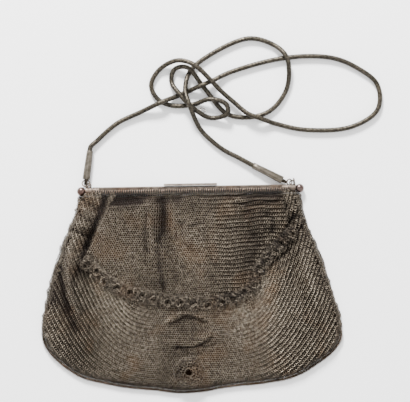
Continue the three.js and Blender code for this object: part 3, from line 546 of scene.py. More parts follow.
def softened(node, name, levels, pull, relief=None, sink=0.0):
    """A smooth copy of a CAD solid, drawn in by pull, its front following a relief, lower by sink."""
    shape = bmesh.new()
    shape.from_mesh(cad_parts[node].data)
    bmesh.ops.remove_doubles(shape, verts=shape.verts, dist=1e-6)
    bmesh.ops.recalc_face_normals(shape, faces=shape.faces)
    mesh = bpy.data.meshes.new(name)
    shape.to_mesh(mesh)
    shape.free()
    piece = bpy.data.objects.new(name, mesh)
    bpy.context.scene.collection.objects.link(piece)
    if levels:
        rounding = piece.modifiers.new("rounding", "SUBSURF")
        rounding.levels = levels
        rounding.render_levels = levels
        ready = bpy.context.evaluated_depsgraph_get()
        smooth_mesh = bpy.data.meshes.new_from_object(piece.evaluated_get(ready))
        piece.modifiers.clear()
        piece.data = smooth_mesh
    mesh = piece.data
    places = np.zeros(len(mesh.vertices) * 3, np.float32)
    mesh.vertices.foreach_get("co", places)
    normals = np.zeros(len(mesh.vertices) * 3, np.float32)
    mesh.vertex_normals.foreach_get("vector", normals)
    places = (places - normals * pull).reshape(-1, 3)
    soil_and_shade = np.zeros(len(places))
    if relief is not None:
        # The whole front layer goes with the relief, the back stays on the surface.
        x, y = places[:, 0].astype(float), places[:, 1].astype(float)
        old = relief.sample(relief.before, x, y)
        front = np.maximum(0.6 * old - BACK_LAYER, 0.1 * MM)
        share = np.clip((places[:, 2] - BACK_LAYER) / front, 0, 1)
        places[:, 2] += share * (relief.at(x, y) - old - sink)
        soil_and_shade = np.clip(relief.sample(relief.soil_and_shade, x, y), 0, 1)
    mesh.vertices.foreach_set("co", places.ravel())
    mark_soil_and_shade(piece, soil_and_shade)
    mesh.polygons.foreach_set("use_smooth", np.full(len(mesh.polygons), True))
    mesh.update()
    return piece


pocket_low, pocket_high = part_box("mesh_body")
POCKET_DROP = pocket_high[1] - pocket_low[1]
POCKET_HALF = (pocket_high[0] - pocket_low[0]) / 2
pocket_relief = Relief("mesh_body", 3)
pocket_relief.deepen(0.5)
pocket_relief.crumple([
    # bow of places, half width, height, darkening (painted shade in the creases, partly grime)
    ([(-56.7, -3), (-58.8, -11), (-61.6, -17.6), (-66.5, -29.6), (-69.5, -37)], 2.7, -2.0, 0.95),
    ([(-69.5, -37), (-72.4, -45.6), (-74.5, -52)], 2.2, -1.5, 0.8),
    ([(-74.5, -52), (-78.3, -58.5), (-78.2, -66), (-75, -75), (-70, -82)], 1.8, -0.6, 0.4),
    ([(-75, -18), (-80, -30), (-81.8, -44.4), (-81.5, -57.5), (-79.8, -69), (-76, -78)], 3.3, 1.8, 0.0),
    ([(-86, -36), (-88, -46), (-87.6, -58), (-85, -69), (-81.5, -79)], 1.5, -1.5, 0.9),
    ([(-85, -30), (-89, -36), (-93, -48), (-95, -60), (-93, -72)], 5.0, -0.5, 0.85),
    ([(-90.7, -68.7), (-86, -76), (-81, -84), (-77, -92)], 2.6, -0.6, 0.5),
    ([(-84, -23.5), (-76, -26.5), (-70, -29.5)], 1.0, -0.9, 0.6),
    ([(-78, -14.5), (-72, -17), (-66, -20.5)], 1.1, -1.0, 0.55),
    ([(-73, -6), (-68.5, -8), (-62.5, -12.4)], 1.0, -0.9, 0.55),
    ([(-70, -2), (-66, -5), (-62, -8)], 1.6, 1.2, 0.0),
    ([(-76, -10), (-70, -12.5), (-65, -16)], 1.9, 1.3, 0.0),
    ([(-81, -18.5), (-75, -21.5), (-69, -25)], 2.1, 1.3, 0.0),
    ([(-81, -36), (-77, -38.5), (-72, -41)], 0.9, -0.5, 0.35),
    ([(57, -5), (61, -12), (61, -20)], 2.2, -2.0, 0.8),
    ([(60.5, -23), (63, -17), (67, -13.3), (73, -12.5)], 1.3, 2.2, 0.0),
    ([(65, -22.5), (67, -20), (69.5, -18)], 1.6, -2.4, 1.3),
    ([(62, -32), (66.5, -28), (70, -24), (75, -21.5)], 1.2, 1.9, 0.0),
    ([(63.5, -35.5), (67.5, -31.5), (70, -28.5), (74, -25.5)], 1.1, -1.8, 1.0),
    ([(66, -26), (71, -22.5), (80, -24.5)], 1.0, -1.1, 0.7),
    ([(69, -9), (74, -12)], 1.0, -0.7, 0.45),
    ([(48, -47), (57, -41), (65, -35), (71, -29)], 1.3, -0.9, 0.65),
    ([(52, -50), (61, -44), (69, -37), (74, -32)], 1.2, -0.8, 0.5),
    ([(57, -54), (66, -47), (73, -40)], 1.2, -0.7, 0.4),
    ([(83, -40), (87, -56), (90, -72)], 2.6, -0.6, 0.35),
    ([(-15.5, -87), (-9.5, -84.4), (-4.2, -81.1), (2.3, -83.2), (9, -86)], 1.0, 1.3, 0.0),
    ([(-15, -89.2), (-9.5, -86.8), (-4.5, -83.8), (1.5, -85.6), (7, -88)], 0.8, -0.9, 0.8),
    ([(-12, -102.6), (-5, -103), (-0.5, -103), (5, -101), (11, -97)], 0.9, 1.3, 0.0),
    ([(-11, -104.7), (-5, -105.2), (-0.5, -105.2), (2.5, -104), (6, -102.8)], 0.8, -1.5, 0.97),
    ([(6, -102.8), (10, -100.5), (13, -98)], 0.8, -0.9, 0.7),
])


def cad_points(node):
    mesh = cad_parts[node].data
    places = np.zeros(len(mesh.vertices) * 3, np.float32)
    mesh.vertices.foreach_get("co", places)
    return places.reshape(-1, 3).astype(float)


def pocket_outline():
    """The pocket's edge seen from above: the CAD corners at the height of its widest point."""
    places = cad_points("mesh_body")
    edge_height = places[np.argmax(places[:, 0])][2]
    rim = places[np.abs(places[:, 2] - edge_height) < 0.01 * MM][:, :2]
    rim = np.unique(np.round(rim, 6), axis=0)
    return round_order(rim, (0.0, pocket_low[1] + POCKET_DROP * 0.6)), edge_height


pocket_loop, EDGE_HEIGHT = pocket_outline()
pocket_loop = even_loop(pocket_loop, 2.0 * MM)


def edge_points(node):
    """Places on the upright walls of a sheet, as seen from above."""
    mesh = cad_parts[node].data
    rim = [mesh.vertices[index].co[:2] for face in mesh.polygons if abs(face.normal[2]) < 0.12
           for index in face.vertices]
    return np.unique(np.round(np.array(rim), 5), axis=0)


flap_low, flap_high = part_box("mesh_flap")
flap_loop = round_order(edge_points("mesh_flap"), (0.0, (flap_low[1] + flap_high[1]) / 2 + 8 * MM))
flap_loop = even_loop(flap_loop, 2.0 * MM)

# The flap presses the pocket down where it lies on it.
PRESSED = 3.0 * MM
grid_x, grid_y = np.meshgrid(pocket_relief.x, pocket_relief.y)
covered = loop_distance(flap_loop, grid_x.ravel(), grid_y.ravel()).reshape(grid_x.shape)
pocket_relief.height = pocket_relief.height - PRESSED * np.clip((covered - 2 * MM) / (5 * MM), 0, 1)
pocket_relief.renew()

# Rows rise towards the sides by this height times the share of the half width to this power.
ROW_RISE = 64.0 * MM
ROW_RISE_POWER = 3.7
ROW_FAN = 0.5
LEAVE_RIM = 2.6 * MM
CORNER_RIM = 0.6 * MM
HIDDEN_UNDER_FLAP = 5.0 * MM
BEHIND_FLAP_TOP = 8.0 * MM
ROSETTE_CLEAR = 9.2 * MM


def smile_rows(base_y, first_row, last_row):
    """Places and row directions of a mesh whose rows hang like smiles."""
    x = np.linspace(0.0, POCKET_HALF * 1.12, 600)
    y = base_y + ROW_RISE * (x / POCKET_HALF) ** ROW_RISE_POWER
    run = np.concatenate([[0.0], np.cumsum(np.hypot(np.diff(x), np.diff(y)))])
    slope = np.gradient(y, x)
    columns = int(run[-1] / COLUMN_PITCH)
    places, rows_along, leans = [], [], []
    for row in range(first_row, last_row):
        shift = 0.5 * (row % 2)
        station = (np.arange(-columns, columns + 1) + shift) * COLUMN_PITCH
        side = np.sign(station) + (station == 0)
        away = np.minimum(np.abs(station), run[-1])
        px, py = np.interp(away, run, x), np.interp(away, run, y)
        tilt = np.arctan(np.interp(away, run, slope))
        fan = tilt * ROW_FAN
        reach = row * ROW_PITCH / np.cos(tilt - fan)
        places.append(np.stack([side * (px - reach * np.sin(fan)), py + reach * np.cos(fan)], -1))
        rows_along.append(np.stack([np.cos(tilt), side * np.sin(tilt)], -1))
        leans.append(np.full(len(station), 1.0 if row % 2 else -1.0))
    return np.vstack(places), np.vstack(rows_along), np.concatenate(leans)


def apart(places, least):
    """Which places lie at least this far from all those kept before them."""
    taken = {}
    kept = np.zeros(len(places), dtype=bool)
    for index, (x, y) in enumerate(places):
        i, j = int(x // least), int(y // least)
        near = [spot for di in (-1, 0, 1) for dj in (-1, 0, 1)
                for spot in taken.get((i + di, j + dj), ())]
        if all(math.hypot(x - px, y - py) >= least for px, py in near):
            taken.setdefault((i, j), []).append((x, y))
            kept[index] = True
    return kept


def laid_rings(places, rows_along, leans, relief, sink, parted):
    """Rings laid on a relief, a little uneven. Where they are parted, every second row stands up, and the
    lowered rows between are darkened as painted shade.
    """
    count = len(places)
    x, y = places[:, 0], places[:, 1]
    normal = relief.normal(x, y)
    height = relief.at(x, y) - sink
    centre = np.stack([x, y, height], -1) + chance.normal(0, RINGS_ASTRAY, (count, 3))
    across = np.column_stack([-rows_along[:, 1], rows_along[:, 0], np.zeros(count)])
    normal = normal + across * (ROW_TIP * parted * leans)[:, None]
    normal += chance.normal(0, 0.07, (count, 3))
    normal /= np.linalg.norm(normal, axis=1)[:, None]
    along = np.hstack([rows_along, np.zeros((count, 1))])
    lean = leans * RING_LEAN * (1 + chance.normal(0, 0.12, count))
    centre[:, 2] += leans * parted * ROW_STANDS
    # Painted shade: darker in crease strokes, in hollows below their surroundings, and on the lowered
    # rows.
    soil_and_shade = relief.sample(relief.soil_and_shade, x, y) + 0.6 * np.maximum(relief.sample(relief.hollow, x, y), 0)
    soil_and_shade += 0.72 * parted * (leans < 0)
    return centre, normal, along, lean, np.clip(soil_and_shade, 0, 1)


FRONT_SINK = 0.2 * MM
ROW_STANDS = 0.36 * MM
ROW_TIP = 0.7
RINGS_APART = 0.92 * MM
RINGS_ASTRAY = 0.09 * MM
places, rows_along, leans = smile_rows(pocket_low[1] - 4 * MM, -34, 116)
top_row = pocket_high[1] - LEAVE_RIM - 0.3 * MM
inside = loop_distance(pocket_loop, places[:, 0], np.minimum(places[:, 1], top_row))
least_inside = np.where(places[:, 1] > top_row, CORNER_RIM, LEAVE_RIM)
under_flap = loop_distance(flap_loop, places[:, 0], places[:, 1])
below_frame = places[:, 1] < pocket_high[1] + 1.8 * MM
# Along the flap's top its own rings cover the pocket's.
FLAP_EDGE = flap_high[1] - 0.6 * MM
behind_top = loop_distance(flap_loop, places[:, 0], np.minimum(places[:, 1], FLAP_EDGE)) > 0.3 * MM
behind_top &= places[:, 1] > flap_high[1] - BEHIND_FLAP_TOP
keep = (inside > least_inside) & (under_flap < HIDDEN_UNDER_FLAP) & below_frame & ~behind_top
rosette_low, rosette_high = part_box("rosette")
rosette_middle = np.array([
    (rosette_low[0] + rosette_high[0]) / 2, (rosette_low[1] + rosette_high[1]) / 2])
keep &= np.linalg.norm(places - rosette_middle, axis=1) > ROSETTE_CLEAR
places, rows_along, leans = places[keep], rows_along[keep], leans[keep]
keep = apart(places, RINGS_APART)
places, rows_along, leans = places[keep], rows_along[keep], leans[keep]
parted_right = np.clip((places[:, 0] - 30 * MM) / (27 * MM), 0.13, 1.2)
parted_left = np.clip((-places[:, 0] - 58 * MM) / (18 * MM), 0.13, 0.75)
parted = np.where(places[:, 0] > 0, parted_right, parted_left)
laid = laid_rings(places, rows_along, leans, pocket_relief, FRONT_SINK, parted)


def two_fields(name, laid, steps=RING_STEPS):
    """A field of rings as two pieces, left and right of the middle line."""
    left = laid[0][:, 0] < 0
    pieces = []
    for side, part in (("left", left), ("right", ~left)):
        centre, normal, along, lean, soil_and_shade = (rows[part] for rows in laid)
        pieces.append(ring_field(f"{name}_{side}", centre, normal, along, lean, soil_and_shade=soil_and_shade, steps=steps))
    return pieces


ring_pieces = two_fields("front_rings", laid)

# Rows that wrap round the pocket's edge from the front to the back
RIM_BOTTOM = 0.75 * MM
RIM_BULGE = 1.1 * MM
LUMP_LENGTH = 2.9 * MM
seam_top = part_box("hem_seam")[1][1] - 20 * MM
rim_loop = even_loop(pocket_loop, COLUMN_PITCH)


def rim_rows(loop):
    ahead = ways_along(loop)
    inward = np.stack([-ahead[:, 1], ahead[:, 0]], -1)
    # The loop runs anticlockwise, so its left-hand side is inside.
    depth = np.arange(0.0, 8.0, 0.1) * MM
    centres, normals, alongs, leans = [], [], [], []
    run = np.arange(len(loop)) * COLUMN_PITCH
    lumps = np.abs(np.sin(run / LUMP_LENGTH + 1.9 * np.sin(run / (11 * MM))))
    lumps *= 0.55 + 0.45 * np.sin(run / (7 * MM))
    bulges = RIM_BULGE * (lumps + np.abs(chance.normal(0, 0.3, len(loop))))
    for place, way, step, bulge in zip(loop, inward, ahead, bulges):
        if place[1] > pocket_high[1] - 1.5 * MM:
            continue
        x, y = place[0] + way[0] * depth, place[1] + way[1] * depth
        z = pocket_relief.at(x, y)
        z[depth < 0.4 * MM] = EDGE_HEIGHT
        out = np.concatenate([[0.7 * MM, 0.1 * MM], depth])
        z = np.concatenate([[RIM_BOTTOM * 0.95, RIM_BOTTOM], np.maximum(z, EDGE_HEIGHT)])
        run = np.concatenate([[0.0], np.cumsum(np.hypot(np.diff(out), np.diff(z)))])
        end = np.interp(LEAVE_RIM, depth, run[2:])
        for row, along_rim in enumerate(np.arange(0.5 * MM, end + 0.5 * MM, ROW_PITCH)):
            spot = np.interp(along_rim, run, out)
            high = np.interp(along_rim, run, z)
            rise = np.interp(along_rim + 0.3 * MM, run, z) - np.interp(along_rim - 0.3 * MM, run, z)
            over = np.interp(along_rim + 0.3 * MM, run, out) - np.interp(along_rim - 0.3 * MM, run, out)
            face = np.array([-way[0] * rise, -way[1] * rise, over])
            face /= max(np.linalg.norm(face), 1e-9)
            slide = 0.5 * COLUMN_PITCH * (row % 2)
            spot -= bulge * (place[1] > seam_top)
            centres.append([place[0] + way[0] * spot + step[0] * slide,
                            place[1] + way[1] * spot + step[1] * slide, high])
            normals.append(face)
            alongs.append([step[0], step[1], 0.0])
            leans.append(RING_LEAN if row % 2 else -RING_LEAN)
    return np.array(centres), np.array(normals), np.array(alongs), np.array(leans)


centre, normal, along, lean = rim_rows(rim_loop)
centre += chance.normal(0, 0.06 * MM, centre.shape)
soil_and_shade = chance.uniform(0.15, 0.75, len(centre))
ring_pieces.append(ring_field("edge_rings", centre, normal, along, lean, soil_and_shade=soil_and_shade))

# The back lies flat on the surface.
BACK_RING_HEIGHT = 0.78 * MM
BACK_RINGS_APART = 1.6 * MM
places, rows_along, leans = smile_rows(pocket_low[1] - 4 * MM, -34, 116)
inside = loop_distance(pocket_loop, places[:, 0], places[:, 1])
keep = (inside > 0.9 * MM) & (places[:, 1] < pocket_high[1] - 0.6 * MM)
places, rows_along, leans = places[keep], rows_along[keep], leans[keep]
keep = apart(places, BACK_RINGS_APART)
places, rows_along, leans = places[keep], rows_along[keep], leans[keep]
count = len(places)
centre = np.stack([places[:, 0], places[:, 1], np.full(count, BACK_RING_HEIGHT)], -1)
normal = np.tile([0.0, 0.0, -1.0], (count, 1))
along = np.hstack([rows_along, np.zeros((count, 1))])
ring_pieces += two_fields("back_rings", (centre, normal, along, leans * RING_LEAN, np.zeros(count)),
                          BACK_STEPS)

RING_DARK, RING_BRIGHT, RING_RUST = (0.055, 0.043, 0.031), (0.50, 0.425, 0.33), (0.18, 0.105, 0.056)
SHADE_SHEET_DARK, SHADE_SHEET_BRIGHT, SHADE_SHEET_RUST = (0.006, 0.0045, 0.003), (0.022, 0.016, 0.011), (0.02, 0.011, 0.006)
ring_metal = metal("ring_metal", RING_DARK, RING_BRIGHT, RING_RUST,
                   wear=0.55, rust_share=0.4, fine_scale=650.0)
# Painted shade: matt near-black sheets under the rings darken what shows through their gaps.
shade_sheet_metal = metal("shade_sheet_metal", SHADE_SHEET_DARK, SHADE_SHEET_BRIGHT, SHADE_SHEET_RUST,
                  wear=0.6, rust_share=0.5, fine_scale=800.0, metallic=0.0, bump=0.6, dull=1.0, gleam=0.0)
pocket_shade_sheet = softened("mesh_body", "pocket_painted_shade", 1, 0.5 * MM, pocket_relief, 0.3 * MM)
dress(pocket_shade_sheet, shade_sheet_metal)
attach(pocket_shade_sheet, "root")
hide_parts("mesh_body")
for piece in ring_pieces:
    dress(piece, ring_metal)
    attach(piece, "root")


# Flap. A loose apron of the same ring mesh, hung from the frame over the front, its rows level.
FLAP_TILT = math.radians(2.0)
FLAP_WAVE = 0.45 * MM
flap_relief = Relief("mesh_flap", 2)
flap_relief.deepen(0.3)
# The last column darkens: painted shade in the creases and in the hollow under the frame, partly grime.
flap_relief.crumple([
    ([(-54, -5.2), (-45, -5.8), (-36, -5.2)], 4.6, -1.6, 2.0),
    ([(-56, -2.2), (-45, -2.4), (-35, -2.2)], 2.6, -0.4, 1.5),
    ([(-22, -7), (-21, -18), (-20, -28)], 5.5, 0.0, 0.5),
    ([(-16, -7), (0, -9), (14, -9)], 6.0, 0.0, 0.32),
    ([(-33, -5), (-26, -6.5), (-17, -7.5), (-8, -6.5)], 3.2, -0.8, 0.75),
    ([(-52, -11), (-44, -10.8), (-38, -10.4), (-31, -10.6)], 0.8, 1.2, 0.0),
    ([(-50, -12.8), (-44, -12.4), (-36, -12.2)], 0.7, -0.5, 0.5),
    ([(-18.3, -6), (-17.5, -17.3), (-18.6, -25.7), (-21.5, -33)], 2.8, -1.0, 0.75),
    ([(-21.5, -33), (-22.1, -41.7), (-20.9, -51), (-19.2, -64)], 2.2, -0.9, 0.65),
    ([(-24.1, -13), (-26.1, -23.7), (-27.2, -33), (-26.8, -42.5), (-24.7, -53), (-22, -66)], 1.8, 0.8, 0),
    ([(-29.6, -9.4), (-29.8, -20.8), (-30.4, -30.2), (-29.6, -40)], 1.7, -0.6, 0.5),
    ([(20, -4.5), (38, -5.5), (57, -4)], 0.9, -0.6, 0.6),
    ([(40, -7), (50, -6.5), (57, -6)], 5.0, -0.7, 0.6),
    ([(30, -7), (44, -7.6), (58, -6)], 0.9, 0.6, 0.0),
    ([(28, -9.5), (42, -10.3), (58, -8.5)], 1.0, -0.9, 0.6),
    ([(32, -12.6), (46, -13.2), (58, -11)], 0.9, 0.7, 0.0),
    ([(34, -15.3), (46, -15.8), (57, -13.6)], 1.0, -0.8, 0.55),
    ([(22, -18), (36, -19.5), (50, -18.5)], 0.9, -0.5, 0.45),
    ([(18, -24.5), (30, -26), (44, -24.5)], 0.9, -0.5, 0.4),
    ([(50, -17), (55, -21), (54, -28)], 2.0, -1.0, 0.65),
    ([(42, -30), (44, -37), (40, -46)], 3.0, -0.6, 0.5),
    ([(40, -20), (42, -36), (38, -50)], 10.0, -0.3, 0.4),
    ([(50, -25), (47, -32), (50, -38)], 1.2, -0.6, 0.5),
    ([(-10, -21), (0, -24), (6, -23)], 0.9, -0.6, 0.45),
    ([(-12, -17), (-2, -19), (6, -18)], 0.9, 0.4, 0.0),
    ([(-14, -31), (-6, -34), (2, -41)], 1.0, -0.5, 0.4),
    ([(8, -30), (13, -44), (12, -58)], 2.4, -0.3, 0.2),
])
wide = int((flap_high[0] - flap_low[0]) / COLUMN_PITCH) + 8
tall = int((flap_high[1] - flap_low[1]) / ROW_PITCH) + 8
row, column = np.meshgrid(np.arange(-4, tall), np.arange(-4, wide), indexing="ij")
x = flap_low[0] + (column + 0.5 * (row % 2)) * COLUMN_PITCH
y = flap_low[1] + row * ROW_PITCH
middle_x = (flap_low[0] + flap_high[0]) / 2
x, y = x.ravel(), y.ravel() + (x.ravel() - middle_x) * math.tan(FLAP_TILT)
# The hanging rows wave a little, and their columns with them.
y += FLAP_WAVE * (np.sin(x / (7 * MM) + 1.0) + 0.6 * np.sin(x / (3.1 * MM) + y / (9 * MM)))
x += FLAP_WAVE * np.sin(y / (6 * MM) + x / (17 * MM))
# The top rows climb onto the frame's lower edge, so the loop's own top doesn't cut them.
inside = loop_distance(flap_loop, x, np.minimum(y, FLAP_EDGE))
keep = (inside > 0.3 * MM) & (y < flap_high[1] + 1.6 * MM)
places = np.stack([x, y], -1)[keep]
leans = np.where(row.ravel() % 2 == 1, 1.0, -1.0)[keep]
rows_along = np.tile([math.cos(FLAP_TILT), math.sin(FLAP_TILT)], (len(places), 1))
parted = np.clip((places[:, 0] - 5 * MM) / (30 * MM), 0.1, 0.6)
laid = laid_rings(places, rows_along, leans, flap_relief, FRONT_SINK, parted)
flap_pieces = two_fields("flap_rings", laid)
# Painted shade: a near-black sheet under the flap's rings.
flap_shade_sheet = softened("mesh_flap", "flap_painted_shade", 1, 0.4 * MM, flap_relief, 0.3 * MM)
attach(flap_shade_sheet, "root")
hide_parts("mesh_flap")
dress(flap_shade_sheet, shade_sheet_metal)
for piece in flap_pieces:
    dress(piece, ring_metal)
    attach(piece, "root")


# Lace border. A scalloped edging of small rings linked into rosettes, each round a dark hole,
# sewn along the flap's lower edge with loose picot rings outside.
LACE_SCALLOPS = 20
LACE_HOLE_ACROSS = 4.7 * MM
LACE_LOOSE = 170
LACE_WIRE = 0.42 * MM
lace_edge = [
    (-68.9, -41.7), (-63.8, -46.6), (-54.7, -55.2), (-43.1, -62.3), (-30.9, -65.9), (-19.3, -68.4),
    (-7.7, -70.1), (2.6, -70.8), (12.9, -71.2), (23.2, -69.4), (32.2, -66.2), (39.3, -59.1),
    (43.1, -49.1), (49.6, -40.2), (58.0, -32.4), (65.0, -23.5),
]
lace_line, lace_length = smooth_line(
    [(x * MM, HINGE_Y + y * MM, 0.0) for x, y in lace_edge], 0.2 * MM, 0.0)
lace_relief = Relief("lace_border", 2)
lace_relief.deepen(0.4)
# The last column darkens: painted shade in the creases, partly grime.
lace_relief.crumple([
    ([(30, -72), (38, -64), (44, -52)], 2.0, -0.6, 0.4),
    ([(52, -38), (59, -30), (66, -24)], 3.6, -0.8, 0.6),
    ([(60, -34), (65, -29), (69, -26)], 1.0, 1.3, 0.0),
    ([(22, -74), (36, -66), (44, -52), (52, -42), (60, -34)], 7.0, 0.0, 0.32),
])


def beside_lace(run, across):
    """Place across the border from a length along its upper edge."""
    step = np.clip((run / lace_length * (len(lace_line) - 1)), 0, len(lace_line) - 2)
    index = step.astype(int)
    ahead = lace_line[index + 1, :2] - lace_line[index, :2]
    here = lace_line[index, :2] + (step - index)[:, None] * ahead
    ahead /= np.linalg.norm(ahead, axis=1)[:, None]
    return here + np.stack([ahead[:, 1], -ahead[:, 0]], -1) * across[:, None], ahead


def rings_round(middle, distance, count, tilt, start=0.0):
    """Places, facings and leans of rings set in a circle, all leaning towards its middle."""
    turn = start + np.arange(count) * 2 * math.pi / count
    spoke = np.stack([np.cos(turn), np.sin(turn)], -1)
    return middle + spoke * distance, spoke, np.full(count, tilt)


lace_sets = []
for scallop in range(LACE_SCALLOPS):
    run = np.array([(scallop + 0.5) / LACE_SCALLOPS * lace_length])
    run = run + chance.normal(0, 0.7 * MM)
    middle = beside_lace(run, np.array([LACE_HOLE_ACROSS + chance.normal(0, 0.9 * MM)]))[0][0]
    twist = chance.uniform(0, 1)
    lace_sets.append(rings_round(middle, 1.95 * MM, 8, -0.75, twist))
    lace_sets.append(rings_round(middle, 3.5 * MM, 12, 0.55, twist + 0.3))
    lace_sets.append(rings_round(middle, 4.6 * MM, 13, -0.2, twist + 0.1))
run = chance.uniform(0.5 * MM, lace_length - 0.5 * MM, LACE_LOOSE)
spots, ahead = beside_lace(run, chance.uniform(1.0 * MM, 8.6 * MM, LACE_LOOSE))
lace_sets.append((spots, ahead, chance.normal(0, 0.9, LACE_LOOSE)))
for across, tilt in ((0.5, 0.5), (1.7, -0.5)):
    run = np.arange(0.5 * MM, lace_length, 1.7 * MM)
    spots, ahead = beside_lace(run, np.full(len(run), across * MM))
    lace_sets.append((spots, ahead, np.full(len(run), tilt)))
spots, facing, tilt = (np.concatenate(rows) for rows in zip(*lace_sets))
spots = spots + chance.normal(0, 0.22 * MM, spots.shape)
lace_inside = lace_relief.sample(lace_relief.inside.astype(float), spots[:, 0], spots[:, 1]) > 0.02
spots, facing, tilt = spots[lace_inside], facing[lace_inside], tilt[lace_inside]
count = len(spots)
centre = np.column_stack([spots, lace_relief.at(spots[:, 0], spots[:, 1]) - 0.1 * MM])
centre[:, 2] += chance.normal(0.1, 0.16, count) * MM
normal = lace_relief.normal(spots[:, 0], spots[:, 1]) + chance.normal(0, 0.16, (count, 3))
normal /= np.linalg.norm(normal, axis=1)[:, None]
facing = np.column_stack([facing, np.zeros(count)])
soil_and_shade = lace_relief.sample(lace_relief.soil_and_shade, spots[:, 0], spots[:, 1]) + chance.uniform(0, 0.8, count)
soil_and_shade = np.clip(soil_and_shade, 0, 1)
sizes = chance.normal(1.05, 0.14, count) * MM
lace_rings = ring_field("lace_rings", centre, normal, facing, tilt, sizes, LACE_WIRE, soil_and_shade)
# Painted shade: a near-black sheet under the lace rings darkens their holes.
lace_shade_sheet = softened("lace_border", "lace_painted_shade", 1, 0.35 * MM, lace_relief, 0.5 * MM)
dress(lace_rings, ring_metal)
dress(lace_shade_sheet, shade_sheet_metal)
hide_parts("lace_border")
for piece in (lace_rings, lace_shade_sheet):
    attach(piece, "root")


# Rosette. Rounds of rings coiled about a small dark hole, low on the pocket's front.
ROSETTE_ROUNDS = [
    # distance from the middle, lean of the rings, ring radius, darkening (painted shade on every second
    # round)
    (2.6, -0.8, 0.9, 0.4), (3.2, 0.9, 0.95, 0.0), (4.2, -0.5, 1.0, 0.7), (5.2, 0.5, 1.05, 0.0),
    (6.3, -0.5, 1.1, 0.7), (7.3, 0.4, 1.1, 0.1), (8.4, -0.4, 1.1, 0.6), (9.4, 0.3, 1.1, 0.3),
]
ROSETTE_PITCH = 1.55
ROSETTE_WIRE = 0.44 * MM
rosette_relief = Relief("rosette", 1)
rosette_sets = []
for distance, tilt, size, dirt_and_shade in ROSETTE_ROUNDS:
    count = int(2 * math.pi * distance / ROSETTE_PITCH)
    spots, facing, tilts = rings_round(rosette_middle, distance * MM, count, tilt, distance)
    rosette_sets.append((spots, facing, tilts, np.full(count, size * MM), np.full(count, dirt_and_shade)))
spots, facing, tilt, sizes, dirt_and_shade = (np.concatenate(rows) for rows in zip(*rosette_sets))
count = len(spots)
spots = spots + chance.normal(0, 0.22 * MM, spots.shape)
tilt = tilt + chance.normal(0, 0.3, count)
centre = np.column_stack([spots, rosette_relief.at(spots[:, 0], spots[:, 1]) - 0.2 * MM])
normal = rosette_relief.normal(spots[:, 0], spots[:, 1]) * [0.6, 0.6, 1.0]
normal += chance.normal(0, 0.12, (count, 3))
normal /= np.linalg.norm(normal, axis=1)[:, None]
facing = np.column_stack([facing, np.zeros(count)])
# Every second round is darkened as painted shade, with a little random grime on top.
soil_and_shade = np.clip(dirt_and_shade + chance.uniform(-0.15, 0.3, count), 0, 1)
rosette_rings = ring_field("rosette_rings", centre, normal, facing, tilt, sizes, ROSETTE_WIRE, soil_and_shade)
# Painted shade: a near-black sheet under the rosette's rings darkens its hole and gaps.
rosette_shade_sheet = softened("rosette", "rosette_painted_shade", 1, 0.5 * MM)
dress(rosette_rings, ring_metal)
dress(rosette_shade_sheet, shade_sheet_metal)
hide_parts("rosette")
for piece in (rosette_rings, rosette_shade_sheet):
    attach(piece, "root")


# Hem. The two layers are closed by one row of rings rolled round a near-black core, painted shade inside
# the roll.
seam_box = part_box("hem_seam")
SEAM_HEIGHT = (seam_box[0][2] + seam_box[1][2]) / 2
SEAM_OUT = 0.85 * MM
SEAM_PITCH = 0.95 * MM
SEAM_TAPER = 22 * MM
SEAM_NARROWER = 1.7 * MM
SEAM_LEAN = 1.05
SEAM_RADIUS = 0.92 * MM
SEAM_WIRE = 0.4 * MM
HEM_BRIGHT = (0.46, 0.34, 0.26)
seam_loop = even_loop(pocket_loop, SEAM_PITCH)
ahead = ways_along(seam_loop)
outward = np.stack([ahead[:, 1], -ahead[:, 0]], -1)
on_hem = seam_loop[:, 1] < seam_box[1][1]
count = int(on_hem.sum())
rise = np.clip((seam_box[1][1] - seam_loop[:, 1]) / SEAM_TAPER, 0.0, 1.0)[:, None]
centre = np.column_stack([(seam_loop + outward * (SEAM_OUT * rise - (1 - rise) * 0.6 * MM))[on_hem],
                          np.full(count, SEAM_HEIGHT)])
centre += chance.normal(0, 0.05 * MM, centre.shape)
normal = np.tile([0.0, 0.0, 1.0], (count, 1)) + chance.normal(0, 0.06, (count, 3))
facing = np.column_stack([ahead[on_hem], np.zeros(count)])
soil_and_shade = chance.uniform(0.0, 0.4, count)
seam_rings = ring_field(
    "hem_rings", centre, normal, facing, np.full(count, SEAM_LEAN), SEAM_RADIUS, SEAM_WIRE, soil_and_shade)
# Painted shade: the core takes the near-black sheet material and darkens the inside of the roll.
seam_shade_core = softened("hem_seam", "hem_painted_shade_core", 1, 0.15 * MM)
places = np.zeros(len(seam_shade_core.data.vertices) * 3, np.float32)
seam_shade_core.data.vertices.foreach_get("co", places)
places = places.reshape(-1, 3)
rise = np.clip((seam_box[1][1] - places[:, 1]) / SEAM_TAPER, 0.0, 1.0)
places[:, 0] -= np.sign(places[:, 0]) * (1 - rise) * SEAM_NARROWER
seam_shade_core.data.vertices.foreach_set("co", places.ravel())
hem_metal = metal("hem_metal", RING_DARK, HEM_BRIGHT, RING_RUST,
                  wear=0.6, rust_share=0.9, fine_scale=650.0)
dress(seam_rings, hem_metal)
dress(seam_shade_core, shade_sheet_metal)
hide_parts("hem_seam")
for piece in (seam_rings, seam_shade_core):
    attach(piece, "root")


